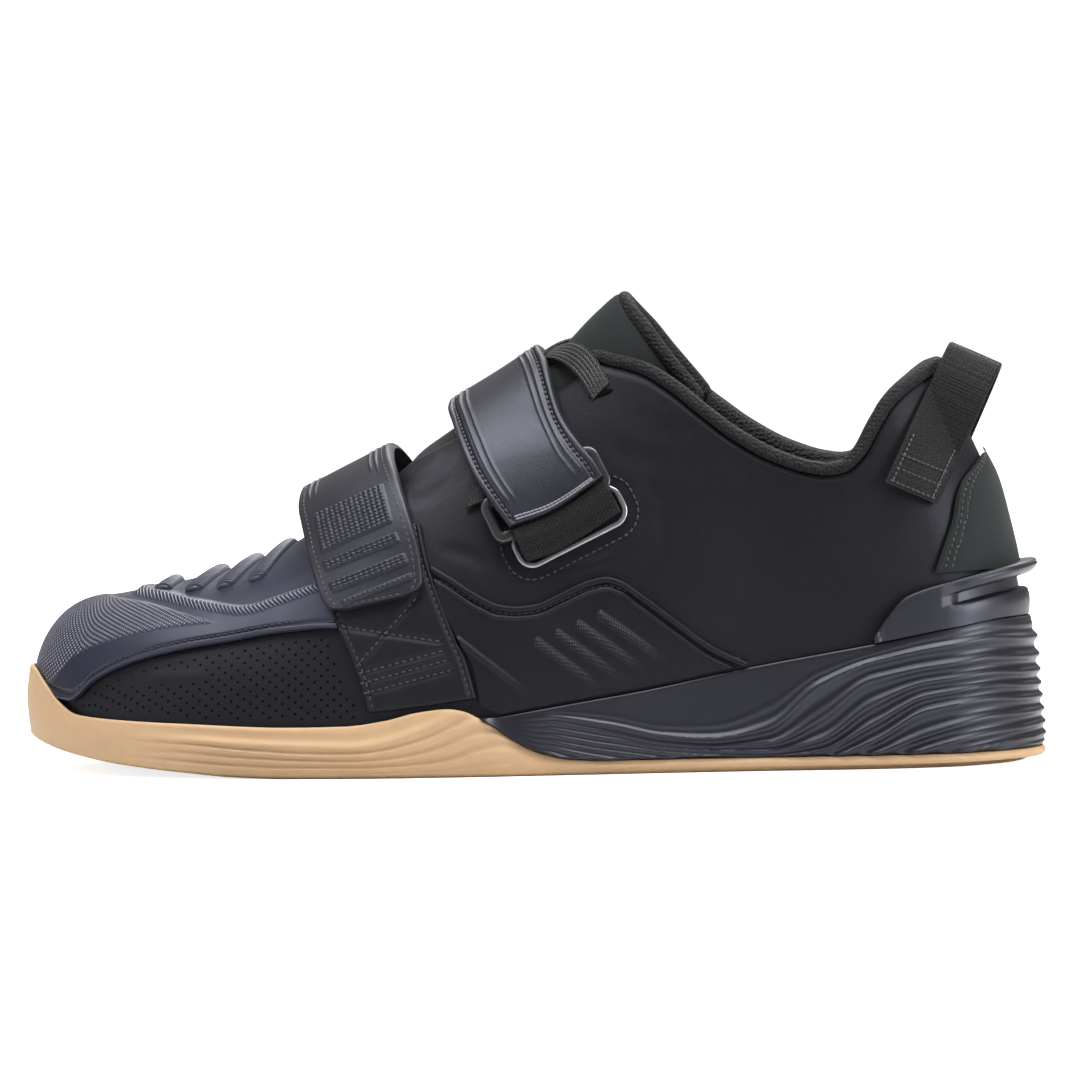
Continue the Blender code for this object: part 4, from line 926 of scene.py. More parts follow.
def form(name, points, faces, looks, uv=None, values=None, shares=None):
    """A closed mesh with its faces outwards. looks: materials, and shares: the material of each face."""
    mesh = bpy.data.meshes.new(name)
    mesh.from_pydata(points.tolist(), [], faces)
    if shares is not None:
        mesh.polygons.foreach_set("material_index", np.asarray(shares, np.int32))
    if uv is not None:
        corners = np.empty(len(mesh.loops), np.int32)
        mesh.loops.foreach_get("vertex_index", corners)
        mesh.uv_layers.new(name="surface").data.foreach_set("uv", uv[corners].astype(np.float32).ravel())
    for key, value in (values or {}).items():
        mesh.attributes.new(key, "FLOAT", "POINT").data.foreach_set("value", value.astype(np.float32))
    shape = bmesh.new()
    shape.from_mesh(mesh)
    bmesh.ops.recalc_face_normals(shape, faces=shape.faces)
    shape.to_mesh(mesh)
    shape.free()
    mesh.shade_smooth()
    mesh.set_sharp_from_angle(angle=math.radians(50))
    for look in looks:
        mesh.materials.append(look)
    piece = bpy.data.objects.new(name, mesh)
    bpy.context.scene.collection.objects.link(piece)
    return piece


def quads(rows, columns, start=0):
    at = start + np.arange(rows - 1)[:, None] * columns + np.arange(columns - 1)[None, :]
    at = at.ravel()
    return np.stack([at, at + 1, at + columns + 1, at + columns], axis=1)


def joined(points, faces):
    """Points that meet become one, and faces that close up to an edge go."""
    keys = np.round(points / 1e-5).astype(np.int64)
    _, first, index = np.unique(keys, axis=0, return_index=True, return_inverse=True)
    faces = index.reshape(-1)[faces]
    kept = []
    for face in faces.tolist():
        corners = list(dict.fromkeys(face))
        if len(corners) > 2:
            kept.append(corners)
    return first, kept


def shell(name, outer, inner, faces, looks, uv=None, values=None, backed=True):
    """A sheet with a wall. Where backed is False the back, which lies on another piece, is left off."""
    outer = outer.reshape(-1, 3)
    inner = inner.reshape(-1, 3)
    first, faces = joined(outer, faces)
    outer = outer[first]
    inner = inner[first]
    count = len(outer)
    uses = {}
    for face in faces:
        for a, b in zip(face, face[1:] + face[:1]):
            uses.setdefault((min(a, b), max(a, b)), []).append((a, b))
    strips = [(e[0][1], e[0][0], e[0][0] + count, e[0][1] + count) for e in uses.values() if len(e) == 1]
    backs = [[corner + count for corner in reversed(face)] for face in faces] if backed else []
    shares = [0] * len(faces) + [min(1, len(looks) - 1)] * len(backs) + [0] * len(strips)
    if uv is not None:
        uv = np.concatenate([uv[first], uv[first]])
    values = {key: np.concatenate([v[first], v[first]]) for key, v in (values or {}).items()}
    points = np.concatenate([outer, inner])
    return form(name, points, faces + backs + strips, looks, uv, values, shares)


def solid_of(name, rings, looks, uv=None):
    """Rings, lateral side first, joined and closed by strips across the two ends."""
    count = len(rings[0])
    points = np.concatenate(rings)
    j = np.arange(count)
    ahead = (j + 1) % count
    sides = [
        np.stack([i * count + j, i * count + ahead, (i + 1) * count + ahead, (i + 1) * count + j], 1)
        for i in range(len(rings) - 1)
    ]
    last = (len(rings) - 1) * count
    j = np.arange(count // 2 - 1)
    ends = [np.stack([s + j, s + j + 1, s + count - 2 - j, s + count - 1 - j], 1) for s in (0, last)]
    first, faces = joined(points, np.concatenate(sides + ends))
    return form(name, points[first], faces, looks, None if uv is None else uv[first])


def measured(grid):
    """UV of a grid of points, in metres along it and across it."""
    down = np.linalg.norm(np.diff(grid, axis=0), axis=-1).mean(axis=1)
    over = np.linalg.norm(np.diff(grid, axis=1), axis=-1).mean(axis=0)
    u = np.concatenate([[0], np.cumsum(down)])
    v = np.concatenate([[0], np.cumsum(over)])
    return np.stack(np.meshgrid(u, v, indexing="ij"), axis=-1).reshape(-1, 2)


def drawn(path, count):
    """A smooth line of count places through a few, given in millimetres in side view, as x and z."""
    path = np.array(path, float) * 0.001
    reach = np.concatenate([[0], np.cumsum(np.linalg.norm(np.diff(path, axis=0), axis=1))])
    at = np.linspace(0, reach[-1], count)
    return np.stack([smooth(reach, path[:, 0])(at), smooth(reach, path[:, 1])(at)], axis=1)


def reach_of(line):
    """Distance run along a line, at each of its points."""
    return np.concatenate([[0], np.cumsum(np.linalg.norm(np.diff(line, axis=0), axis=1))])


def off_line(points, line):
    """Distance in side view of each point from a line, and the share along the line."""
    flat = points[..., [0, 2]]
    best = np.full(flat.shape[:-1], 9.0)
    share = np.zeros(flat.shape[:-1])
    for k in range(len(line) - 1):
        run = line[k + 1] - line[k]
        t = np.clip(((flat - line[k]) @ run) / (run @ run), 0, 1)
        gap = np.linalg.norm(flat - line[k] - t[..., None] * run, axis=-1)
        share = np.where(gap < best, (k + t) / (len(line) - 1), share)
        best = np.minimum(gap, best)
    return best, share


def rounding(gap, radius):
    """How far a rounded edge has fallen at a distance inside it."""
    return radius * (1 - np.sqrt(1 - np.clip(1 - gap / radius, 0, 1) ** 2))


def bead(gap, half, height):
    return height * np.sqrt(np.clip(1 - (gap / half) ** 2, 0, 1))


def soft(gap, half, height):
    return height * np.cos(np.clip(gap / half, 0, 1) * math.pi / 2) ** 2


def step(value, low, high):
    t = np.clip((value - low) / (high - low), 0, 1)
    return t * t * (3 - 2 * t)


# Node trees


class Nodes:
    """A node tree with short calls for adding and joining its nodes."""

    def __init__(self, tree):
        self.tree = tree

    def add(self, kind, inputs=None, **settings):
        node = self.tree.nodes.new(kind)
        for key, value in settings.items():
            setattr(node, key, value)
        for key, value in (inputs or {}).items():
            if isinstance(value, bpy.types.NodeSocket):
                self.tree.links.new(value, node.inputs[key])
            else:
                node.inputs[key].default_value = value
        return node

    def sum(self, operation, first, second=0.0, third=0.0):
        kind = self.add("ShaderNodeMath", operation=operation)
        for socket, value in zip(kind.inputs, (first, second, third)):
            if isinstance(value, bpy.types.NodeSocket):
                self.tree.links.new(value, socket)
            else:
                socket.default_value = value
        return kind.outputs[0]


def effect(name, inputs, outputs):
    """An empty shader group: its nodes, its input sockets and its output node."""
    tree = bpy.data.node_groups.new(name, "ShaderNodeTree")
    for label, value in inputs:
        kind = "NodeSocketVector" if value is None else "NodeSocketFloat"
        socket = tree.interface.new_socket(label, in_out="INPUT", socket_type=kind)
        if value is not None:
            socket.default_value = value
    for label in outputs:
        tree.interface.new_socket(label, in_out="OUTPUT", socket_type="NodeSocketFloat")
    nodes = Nodes(tree)
    return nodes, nodes.add("NodeGroupInput").outputs, nodes.add("NodeGroupOutput")


def close_effect(nodes, end, **outputs):
    for label, socket in outputs.items():
        nodes.tree.links.new(socket, end.inputs[label])
    return nodes.tree


def make_handling():
    """Broad and fine change over a surface, as handling and dust leave it."""
    nodes, given, end = effect("handling", [("Vector", None), ("Size", 30.0)], ["Shade"])
    broad = nodes.add(
        "ShaderNodeTexNoise", {"Vector": given["Vector"], "Scale": given["Size"], "Detail": 3.0}
    )
    fine = nodes.sum("MULTIPLY", given["Size"], 14.0)
    small = nodes.add("ShaderNodeTexNoise", {"Vector": given["Vector"], "Scale": fine, "Detail": 2.0})
    mixed = nodes.sum(
        "MULTIPLY_ADD", small.outputs["Fac"], 0.35, nodes.sum("MULTIPLY", broad.outputs["Fac"], 0.65)
    )
    wide = nodes.sum("MULTIPLY_ADD", mixed, 2.2, -0.6)
    return close_effect(nodes, end, Shade=nodes.sum("MINIMUM", nodes.sum("MAXIMUM", wide, 0.0), 1.0))


def make_grain():
    """Pebbled grain: cells between fine creases, with a finer tooth on top."""
    nodes, given, end = effect("grain", [("Vector", None), ("Cells", 900.0), ("Crease", 0.3)], ["Height"])
    cells = nodes.add(
        "ShaderNodeTexVoronoi",
        {"Vector": given["Vector"], "Scale": given["Cells"], "Randomness": 1.0},
        feature="DISTANCE_TO_EDGE",
    )
    pads = nodes.sum("MINIMUM", nodes.sum("DIVIDE", cells.outputs["Distance"], given["Crease"]), 1.0)
    size = nodes.sum("MULTIPLY", given["Cells"], 0.4)
    rough = nodes.add("ShaderNodeTexNoise", {"Vector": given["Vector"], "Scale": size, "Detail": 4.0})
    height = nodes.sum("MULTIPLY_ADD", rough.outputs["Fac"], 0.6, nodes.sum("MULTIPLY", pads, 0.4))
    return close_effect(nodes, end, Height=height)


def make_weave():
    """Plain weave: threads a metre along and across, each over one and under the next."""
    labels = [("Vector", None), ("Along", 700.0), ("Across", 700.0)]
    nodes, given, end = effect("weave", labels, ["Height", "Gap"])
    split = nodes.add("ShaderNodeSeparateXYZ", {"Vector": given["Vector"]})
    waves = []
    for axis, count in (("X", "Along"), ("Y", "Across")):
        turns = nodes.sum("MULTIPLY", nodes.sum("MULTIPLY", split.outputs[axis], given[count]), math.pi)
        waves.append(nodes.sum("SINE", turns))
    over = nodes.sum("MULTIPLY_ADD", nodes.sum("MULTIPLY", waves[0], waves[1]), 0.5, 0.5)
    edges = nodes.sum("MINIMUM", nodes.sum("ABSOLUTE", waves[0]), nodes.sum("ABSOLUTE", waves[1]))
    height = nodes.sum("MULTIPLY_ADD", over, 0.5, nodes.sum("MULTIPLY", edges, 0.5))
    # Where the threads part; the material darkens it there as painted shade
    gap = nodes.sum("SUBTRACT", 1.0, nodes.sum("MINIMUM", nodes.sum("MULTIPLY", edges, 2.5), 1.0))
    return close_effect(nodes, end, Height=height, Gap=gap)


def make_knit():
    """Spacer knit: short raised loops in offset rows with small holes between them, darkened as painted
    shade.
    """
    nodes, given, end = effect("knit", [("Vector", None), ("Loops", 800.0)], ["Height", "Gap"])
    bent = nodes.add("ShaderNodeTexNoise", {"Vector": given["Vector"], "Scale": 300.0, "Detail": 1.0})
    shift = nodes.add(
        "ShaderNodeVectorMath", {0: bent.outputs["Color"], 1: (0.0007, 0.0007, 0.0007)},
        operation="MULTIPLY"
    )
    place_of = nodes.add("ShaderNodeVectorMath", {0: given["Vector"], 1: shift.outputs[0]}, operation="ADD")
    holes = nodes.add(
        "ShaderNodeTexVoronoi",
        {"Vector": place_of.outputs[0], "Scale": given["Loops"], "Randomness": 0.55},
        feature="F1",
    )
    near = nodes.sum("MULTIPLY", holes.outputs["Distance"], 1.6)
    fine = nodes.sum("MULTIPLY", given["Loops"], 3.0)
    fuzz = nodes.add("ShaderNodeTexNoise", {"Vector": given["Vector"], "Scale": fine, "Detail": 2.0})
    height = nodes.sum("MULTIPLY_ADD", fuzz.outputs["Fac"], 0.4, nodes.sum("MINIMUM", near, 1.0))
    # The knit's holes; the material darkens them as painted shade
    gap = nodes.sum("SUBTRACT", 1.0, nodes.sum("MINIMUM", nodes.sum("MULTIPLY", near, 1.8), 1.0))
    return close_effect(nodes, end, Height=height, Gap=gap)


HANDLING = make_handling()
GRAIN = make_grain()
WEAVE = make_weave()
KNITTING = make_knit()


def finish_of(name, colours, roughness, pattern, values, bump, on="Object", shade=30.0, extra=None):
    """A material: two tones mixed by handling, roughness over a range, a pattern as bump, and painted shade
    in the pattern's gaps.
    """
    look = bpy.data.materials.new(name)
    look.use_nodes = True
    nodes = Nodes(look.node_tree)
    shader = look.node_tree.nodes["Principled BSDF"]
    where = nodes.add("ShaderNodeTexCoord").outputs
    marks = nodes.add("ShaderNodeGroup", node_tree=HANDLING)
    look.node_tree.links.new(where["Object"], marks.inputs["Vector"])
    marks.inputs["Size"].default_value = shade
    tone = nodes.add("ShaderNodeMix", {"Factor": marks.outputs["Shade"]}, data_type="RGBA")
    tone.inputs["A"].default_value = (*colours[0], 1.0)
    tone.inputs["B"].default_value = (*colours[1], 1.0)
    colour = tone.outputs["Result"]
    surface = nodes.add("ShaderNodeGroup", node_tree=pattern)
    look.node_tree.links.new(where[on], surface.inputs["Vector"])
    for key, value in values.items():
        surface.inputs[key].default_value = value
    # Painted shade: the gaps of a weave or knit are darkened towards near black
    if "Gap" in surface.outputs:
        dark = nodes.add("ShaderNodeMix", {"A": colour}, data_type="RGBA")
        look.node_tree.links.new(nodes.sum("MULTIPLY", surface.outputs["Gap"], 0.75), dark.inputs["Factor"])
        dark.inputs["B"].default_value = (0.002, 0.002, 0.002, 1.0)
        colour = dark.outputs["Result"]
    look.node_tree.links.new(colour, shader.inputs["Base Color"])
    span = roughness[1] - roughness[0]
    rough = nodes.sum("MULTIPLY_ADD", marks.outputs["Shade"], span, roughness[0])
    look.node_tree.links.new(rough, shader.inputs["Roughness"])
    relief = nodes.add(
        "ShaderNodeBump", {"Strength": bump[0], "Distance": bump[1], "Height": surface.outputs["Height"]}
    )
    look.node_tree.links.new(relief.outputs["Normal"], shader.inputs["Normal"])
    for key, value in (extra or {}).items():
        shader.inputs[key].default_value = value
    return look


def add_texture_and_highlight(look, attribute, height, strength, distance, light=0.0):
    """Fine moulded texture where the attribute is 1: a second bump over the first, and paler tops as a
    painted highlight.
    """
    nodes = Nodes(look.node_tree)
    shader = look.node_tree.nodes["Principled BSDF"]
    mask = nodes.add("ShaderNodeAttribute", attribute_name=attribute).outputs["Fac"]
    masked = nodes.sum("MULTIPLY", height, mask)
    below = shader.inputs["Normal"].links[0].from_socket
    relief = nodes.add(
        "ShaderNodeBump", {"Strength": strength, "Distance": distance, "Height": masked, "Normal": below}
    )
    look.node_tree.links.new(relief.outputs["Normal"], shader.inputs["Normal"])
    tone = nodes.add(
        "ShaderNodeMix", {"A": shader.inputs["Base Color"].links[0].from_socket}, data_type="RGBA"
    )
    # Painted highlight: the tops of the texture are mixed towards a pale bluish grey, as much as light asks
    tone.inputs["B"].default_value = (0.26, 0.26, 0.32, 1.0)
    look.node_tree.links.new(nodes.sum("MULTIPLY", masked, light), tone.inputs["Factor"])
    look.node_tree.links.new(tone.outputs["Result"], shader.inputs["Base Color"])


def lattice(look, along_pitch, across_pitch, turn):
    """Small round studs in a lattice on the surface's own UV: 1 on each stud's top."""
    nodes = Nodes(look.node_tree)
    where = nodes.add("ShaderNodeTexCoord").outputs["UV"]
    turned_uv = nodes.add("ShaderNodeMapping", {"Vector": where, "Rotation": (0.0, 0.0, turn)})
    split = nodes.add("ShaderNodeSeparateXYZ", {"Vector": turned_uv.outputs["Vector"]})
    waves = []
    for axis, pitch in (("X", along_pitch), ("Y", across_pitch)):
        turns = nodes.sum("MULTIPLY", split.outputs[axis], 2 * math.pi / pitch)
        waves.append(nodes.sum("COSINE", turns))
    both = nodes.sum("MULTIPLY", nodes.sum("ADD", waves[0], waves[1]), 0.5)
    return nodes.sum("MAXIMUM", both, 0.0)


def teeth(look, attribute, pitch):
    """Cross ribs a pitch apart along the length held in an attribute: 1 on each rib's top."""
    nodes = Nodes(look.node_tree)
    reach = nodes.add("ShaderNodeAttribute", attribute_name=attribute).outputs["Fac"]
    wave = nodes.sum("COSINE", nodes.sum("MULTIPLY", reach, 2 * math.pi / pitch))
    return nodes.sum("MAXIMUM", wave, 0.0)


# A cold tint of the reflections of the black pieces
BLUISH = {"Specular Tint": (0.82, 0.84, 1.0, 1.0)}


def make_finishes():
    looks = {
        "leather": finish_of(
            "black leather", ((0.0030, 0.0030, 0.0036), (0.0052, 0.0052, 0.0062)), (0.46, 0.56), GRAIN,
            {"Cells": 1500.0, "Crease": 0.25}, (0.22, 0.0003), extra={"Specular IOR Level": 0.22, **BLUISH},
        ),
        "panel": finish_of(
            "panel leather", ((0.0028, 0.0028, 0.0034), (0.0048, 0.0048, 0.0058)), (0.44, 0.54), GRAIN,
            {"Cells": 1500.0, "Crease": 0.25}, (0.20, 0.0003), extra={"Specular IOR Level": 0.22, **BLUISH},
        ),
        "film": finish_of(
            "toe film", ((0.0090, 0.0094, 0.0190), (0.0135, 0.0140, 0.0270)), (0.36, 0.44), GRAIN,
            {"Cells": 3000.0, "Crease": 0.3}, (0.12, 0.0002), extra={"Specular IOR Level": 0.45, **BLUISH},
        ),
        # The toe bars are the same film, drawn in a paler tone all over as a painted highlight on the
        # raised bars
        "film bar": finish_of(
            "toe film ribs with painted highlight", ((0.0240, 0.0245, 0.0340), (0.0360, 0.0365, 0.0480)), (0.32, 0.40), GRAIN,
            {"Cells": 3000.0, "Crease": 0.3}, (0.10, 0.0001), extra={"Specular IOR Level": 0.70, **BLUISH},
        ),
        "strap": finish_of(
            "strap leather", ((0.0050, 0.0050, 0.0072), (0.0080, 0.0080, 0.0115)), (0.38, 0.48), GRAIN,
            {"Cells": 2200.0, "Crease": 0.3}, (0.28, 0.0002), extra={"Specular IOR Level": 0.45, **BLUISH},
        ),
        "rubber": finish_of(
            "black rubber", ((0.0050, 0.0050, 0.0068), (0.0078, 0.0078, 0.0104)), (0.34, 0.42), GRAIN,
            {"Cells": 3500.0, "Crease": 0.3}, (0.08, 0.0002), extra={"Specular IOR Level": 0.45, **BLUISH},
        ),
        "gum": finish_of(
            "gum rubber", ((0.360, 0.235, 0.128), (0.430, 0.285, 0.160)), (0.48, 0.58), GRAIN,
            {"Cells": 2500.0, "Crease": 0.3}, (0.10, 0.0002), shade=18.0,
            extra={"Specular IOR Level": 0.30},
        ),
        "nubuck": finish_of(
            "green-grey nubuck", ((0.0045, 0.0064, 0.0066), (0.0080, 0.0108, 0.0108)), (0.80, 0.92), GRAIN,
            {"Cells": 4200.0, "Crease": 0.5}, (0.35, 0.0002), shade=60.0,
            extra={"Specular IOR Level": 0.25, "Sheen Weight": 0.04, "Sheen Roughness": 0.5},
        ),
        "knit": finish_of(
            "black knit", ((0.0016, 0.0016, 0.0022), (0.0075, 0.0075, 0.0092)), (0.60, 0.75), KNITTING,
            {"Loops": 850.0}, (0.9, 0.0006), extra={"Specular IOR Level": 0.18, "Sheen Weight": 0.01},
        ),
        "lining": finish_of(
            "black lining", ((0.0050, 0.0050, 0.0058), (0.0085, 0.0085, 0.0095)), (0.85, 0.95), KNITTING,
            {"Loops": 1200.0}, (0.5, 0.0004), extra={"Specular IOR Level": 0.20},
        ),
        "tape": finish_of(
            "woven tape", ((0.0014, 0.0014, 0.0018), (0.0028, 0.0028, 0.0034)), (0.50, 0.65), WEAVE,
            {"Along": 1500.0, "Across": 1000.0}, (0.8, 0.0004), on="UV", extra={"Specular IOR Level": 0.20},
        ),
        "lace": finish_of(
            "woven lace", ((0.0022, 0.0022, 0.0028), (0.0050, 0.0050, 0.0060)), (0.45, 0.60), WEAVE,
            {"Along": 1100.0, "Across": 1000.0}, (1.0, 0.0006), on="UV", extra={"Specular IOR Level": 0.50},
        ),
        "thread": finish_of(
            "black thread", ((0.0090, 0.0090, 0.0110), (0.0180, 0.0180, 0.0210)), (0.40, 0.55), GRAIN,
            {"Cells": 5000.0, "Crease": 0.4}, (0.3, 0.0001), extra={"Specular IOR Level": 0.55},
        ),
        "pale thread": finish_of(
            "pale thread", ((0.10, 0.10, 0.12), (0.16, 0.16, 0.19)), (0.45, 0.60), GRAIN,
            {"Cells": 5000.0, "Crease": 0.4}, (0.3, 0.0001), extra={"Specular IOR Level": 0.50},
        ),
        # Painted shade: flat dark discs stand for the shade inside the perforations and the lace slots
        "hole shade": finish_of(
            "painted hole shade", ((0.0010, 0.0010, 0.0012), (0.0018, 0.0018, 0.0020)), (0.90, 0.95), GRAIN,
            {"Cells": 2000.0, "Crease": 0.4}, (0.05, 0.0001), extra={"Specular IOR Level": 0.05},
        ),
        "dark metal": finish_of(
            "dark metal", ((0.0120, 0.0120, 0.0145), (0.0180, 0.0180, 0.0210)), (0.24, 0.34), GRAIN,
            {"Cells": 2500.0, "Crease": 0.4}, (0.05, 0.0001), extra={"Specular IOR Level": 0.60},
        ),
        "bright metal": finish_of(
            "bright metal", ((0.25, 0.25, 0.27), (0.36, 0.36, 0.39)), (0.26, 0.36), GRAIN,
            {"Cells": 2500.0, "Crease": 0.4}, (0.05, 0.0001), extra={"Metallic": 1.0},
        ),
    }
    # The film's knurl and chevron ribs and the panels' rough bars get paler tops: a painted highlight
    add_texture_and_highlight(
        looks["film"], "knurl", lattice(looks["film"], 0.00105, 0.00105, math.radians(42)), 0.9, 0.0005,
        0.95
    )
    add_texture_and_highlight(looks["film"], "ribs", teeth(looks["film"], "tooth_run", CHEVRON_TOOTH), 0.9, 0.0005, 0.95)
    add_texture_and_highlight(
        looks["panel"], "rough", lattice(looks["panel"], 0.0007, 0.0009, math.radians(20)), 0.9, 0.0004,
        0.25
    )
    return looks


LOOK = make_finishes()


# Small things set on a surface


def placing_tree(name, holes):
    """Puts one small shape at each point, its length along "run" and its top along "face"."""
    tree = bpy.data.node_groups.new(name, "GeometryNodeTree")
    sockets = {}
    tree.interface.new_socket("Geometry", in_out="INPUT", socket_type="NodeSocketGeometry")
    for label in ("Length", "Width", "Height"):
        sockets[label] = tree.interface.new_socket(label, in_out="INPUT", socket_type="NodeSocketFloat")
    sockets["Material"] = tree.interface.new_socket(
        "Material", in_out="INPUT", socket_type="NodeSocketMaterial"
    )
    tree.interface.new_socket("Geometry", in_out="OUTPUT", socket_type="NodeSocketGeometry")
    nodes = Nodes(tree)
    given = nodes.add("NodeGroupInput").outputs
    rings = {
        "Segments": 10, "Rings": 4, "Radius": 0.5
    } if holes else {"Segments": 8, "Rings": 5, "Radius": 0.5}
    ball = nodes.add("GeometryNodeMeshUVSphere", rings)
    size = nodes.add(
        "ShaderNodeCombineXYZ", {"X": given["Length"], "Y": given["Width"], "Z": given["Height"]}
    )
    shape = nodes.add("GeometryNodeTransform", {"Geometry": ball.outputs["Mesh"], "Scale": size.outputs[0]})
    run = nodes.add("GeometryNodeInputNamedAttribute", {"Name": "run"}, data_type="FLOAT_VECTOR")
    face = nodes.add("GeometryNodeInputNamedAttribute", {"Name": "face"}, data_type="FLOAT_VECTOR")
    flat = nodes.add("FunctionNodeAlignRotationToVector", {"Vector": run.outputs["Attribute"]}, axis="X")
    turn = nodes.add(
        "FunctionNodeAlignRotationToVector",
        {"Rotation": flat.outputs["Rotation"], "Vector": face.outputs["Attribute"]},
        axis="Z",
        pivot_axis="X",
    )
    points = nodes.add("GeometryNodeMeshToPoints", {"Mesh": given["Geometry"]})
    placed = nodes.add(
        "GeometryNodeInstanceOnPoints",
        {
            "Points": points.outputs["Points"], "Instance": shape.outputs[0],
            "Rotation": turn.outputs["Rotation"]
        },
    )
    real = nodes.add("GeometryNodeRealizeInstances", {"Geometry": placed.outputs["Instances"]})
    round_off = nodes.add("GeometryNodeSetShadeSmooth", {"Geometry": real.outputs["Geometry"]})
    dressed = nodes.add(
        "GeometryNodeSetMaterial", {
            "Geometry": round_off.outputs["Geometry"], "Material": given["Material"]
        }
    )
    nodes.add("NodeGroupOutput", {"Geometry": dressed.outputs["Geometry"]})
    return tree, {label: socket.identifier for label, socket in sockets.items()}


STITCHING = placing_tree("stitching", False)
PUNCHING = placing_tree("punching", True)


def placed_things(name, tree, places, sizes, look):
    """places: points, runs and faces, joined to one mesh by the tree."""
    points, runs, faces = (np.concatenate(parts) for parts in zip(*places))
    mesh = bpy.data.meshes.new(name + " places")
    mesh.from_pydata(points.tolist(), [], [])
    for key, values in (("run", runs), ("face", faces)):
        mesh.attributes.new(key, "FLOAT_VECTOR", "POINT").data.foreach_set(
            "vector", values.astype(np.float32).ravel()
        )
    holder = bpy.data.objects.new(name, mesh)
    bpy.context.scene.collection.objects.link(holder)
    modifier = holder.modifiers.new(name, "NODES")
    modifier.node_group = tree[0]
    for label, value in zip(("Length", "Width", "Height"), sizes):
        modifier[tree[1][label]] = value
    modifier[tree[1]["Material"]] = look
    made = bpy.data.meshes.new_from_object(holder.evaluated_get(bpy.context.evaluated_depsgraph_get()))
    holder.modifiers.clear()
    for key in ("run", "face"):
        if key in made.attributes:
            made.attributes.remove(made.attributes[key])
    holder.data = made
    if not made.materials:
        made.materials.append(look)
    return holder


def row_of(points, faces, pitch):
    """Places a pitch apart along a line of 3-D points, each with its run and its face."""
    reach = reach_of(points)
    count = max(2, int(round(reach[-1] / pitch)))
    at = (np.arange(count) + 0.5) / count * reach[-1]
    read = lambda table, t: np.stack([np.interp(t, reach, table[:, k]) for k in range(3)], axis=1)
    ahead = read(points, at + 0.0004) - read(points, at - 0.0004)
    return read(points, at), ahead, read(faces, at)


def seam_on_skin(line, side, out, pitch):
    """A row of stitches on the skin under a line drawn in side view."""
    x = line[:, 0]
    up = up_at(x, line[:, 1])
    low = on_skin(x, up, side, out)
    return row_of(low, on_skin(x, up, side, out + 0.001) - low, pitch)


SEWN = []
PALE_SEWN = []
PUNCHED = []
THREAD_SIZE = (0.0016, 0.00062, 0.00055)
PITCH = 0.0021
HOLE_SIZE = (0.00085, 0.00080, 0.00012)


# Camera, lights and floor


def make_camera():
    """The photograph's view: the lateral side from far off, a little from above and from the heel."""
    aim = Vector(CAMERA_AIM)
    turn = math.radians(CAMERA_TURN)
    rise = math.radians(CAMERA_RISE)
    away = Vector((math.sin(turn) * math.cos(rise), -math.cos(turn) * math.cos(rise), math.sin(rise)))
    data = bpy.data.cameras.new("camera")
    data.lens = CAMERA_LENS
    data.sensor_width = 36.0
    data.clip_start = 0.05
    camera = bpy.data.objects.new("camera", data)
    bpy.context.scene.collection.objects.link(camera)
    camera.location = aim + away * CAMERA_AWAY
    look_along = (-away).to_track_quat("-Z", "Y").to_matrix().to_4x4()
    camera.matrix_world = Matrix.Translation(camera.location) @ look_along @ Matrix.Rotation(
        math.radians(CAMERA_ROLL), 4, "Z"
    )
    bpy.context.scene.camera = camera


def make_lights():
    for name, place_at, size, power in SOFTBOXES:
        data = bpy.data.lights.new(name, "AREA")
        data.shape = "RECTANGLE"
        data.size = size[0]
        data.size_y = size[1]
        data.energy = power
        light = bpy.data.objects.new(name, data)
        bpy.context.scene.collection.objects.link(light)
        light.location = place_at
        light.rotation_euler = (Vector((0, 0, 0.06)) - Vector(place_at)).to_track_quat("-Z", "Y").to_euler()
    world = bpy.data.worlds.new("studio")
    world.use_nodes = True
    world.node_tree.nodes["Background"].inputs["Color"].default_value = (1.0, 1.0, 1.0, 1.0)
    world.node_tree.nodes["Background"].inputs["Strength"].default_value = SKY
    bpy.context.scene.world = world
    bpy.context.scene.view_settings.view_transform = "Standard"


def make_floor():
    """A pale sweep: flat under the shoe and curving up far behind it."""
    profile = [
        (-6.0, 0.0), (4.8, 0.0), (5.4, 0.03), (6.0, 0.2), (6.4, 0.55), (6.6, 1.1), (6.7, 1.9), (6.7, 6.0)
    ]
    grid = np.array([[(x, y, z) for x in (-6.0, 6.0)] for y, z in profile])
    points = grid.reshape(-1, 3)
    mesh = bpy.data.meshes.new("floor")
    mesh.from_pydata(points.tolist(), [], quads(len(profile), 2)[:, ::-1].tolist())
    mesh.shade_smooth()
    floor = bpy.data.objects.new("floor", mesh)
    bpy.context.scene.collection.objects.link(floor)
    look = bpy.data.materials.new("floor")
    look.use_nodes = True
    shader = look.node_tree.nodes["Principled BSDF"]
    shader.inputs["Base Color"].default_value = (0.80, 0.80, 0.80, 1.0)
    shader.inputs["Roughness"].default_value = 0.70
    shader.inputs["Emission Color"].default_value = (1.0, 1.0, 1.0, 1.0)
    nodes = Nodes(look.node_tree)
    seen = nodes.add("ShaderNodeLightPath").outputs["Is Camera Ray"]
    look.node_tree.links.new(nodes.sum("MULTIPLY", seen, FLOOR_GLOW), shader.inputs["Emission Strength"])
    mesh.materials.append(look)


# The sole


def flow(x, height, stations, rows):
    """The line of a moulded flow that a place lies on, from the lowest up. height: share of the wall."""
    share = along(x)
    lines = [smooth(stations, row)(share) for row in zip(*rows)]
    phase = np.zeros(np.shape(x))
    for low, high in zip(lines, lines[1:]):
        phase = phase + np.clip((height - low) / (high - low), 0, 1)
    return phase


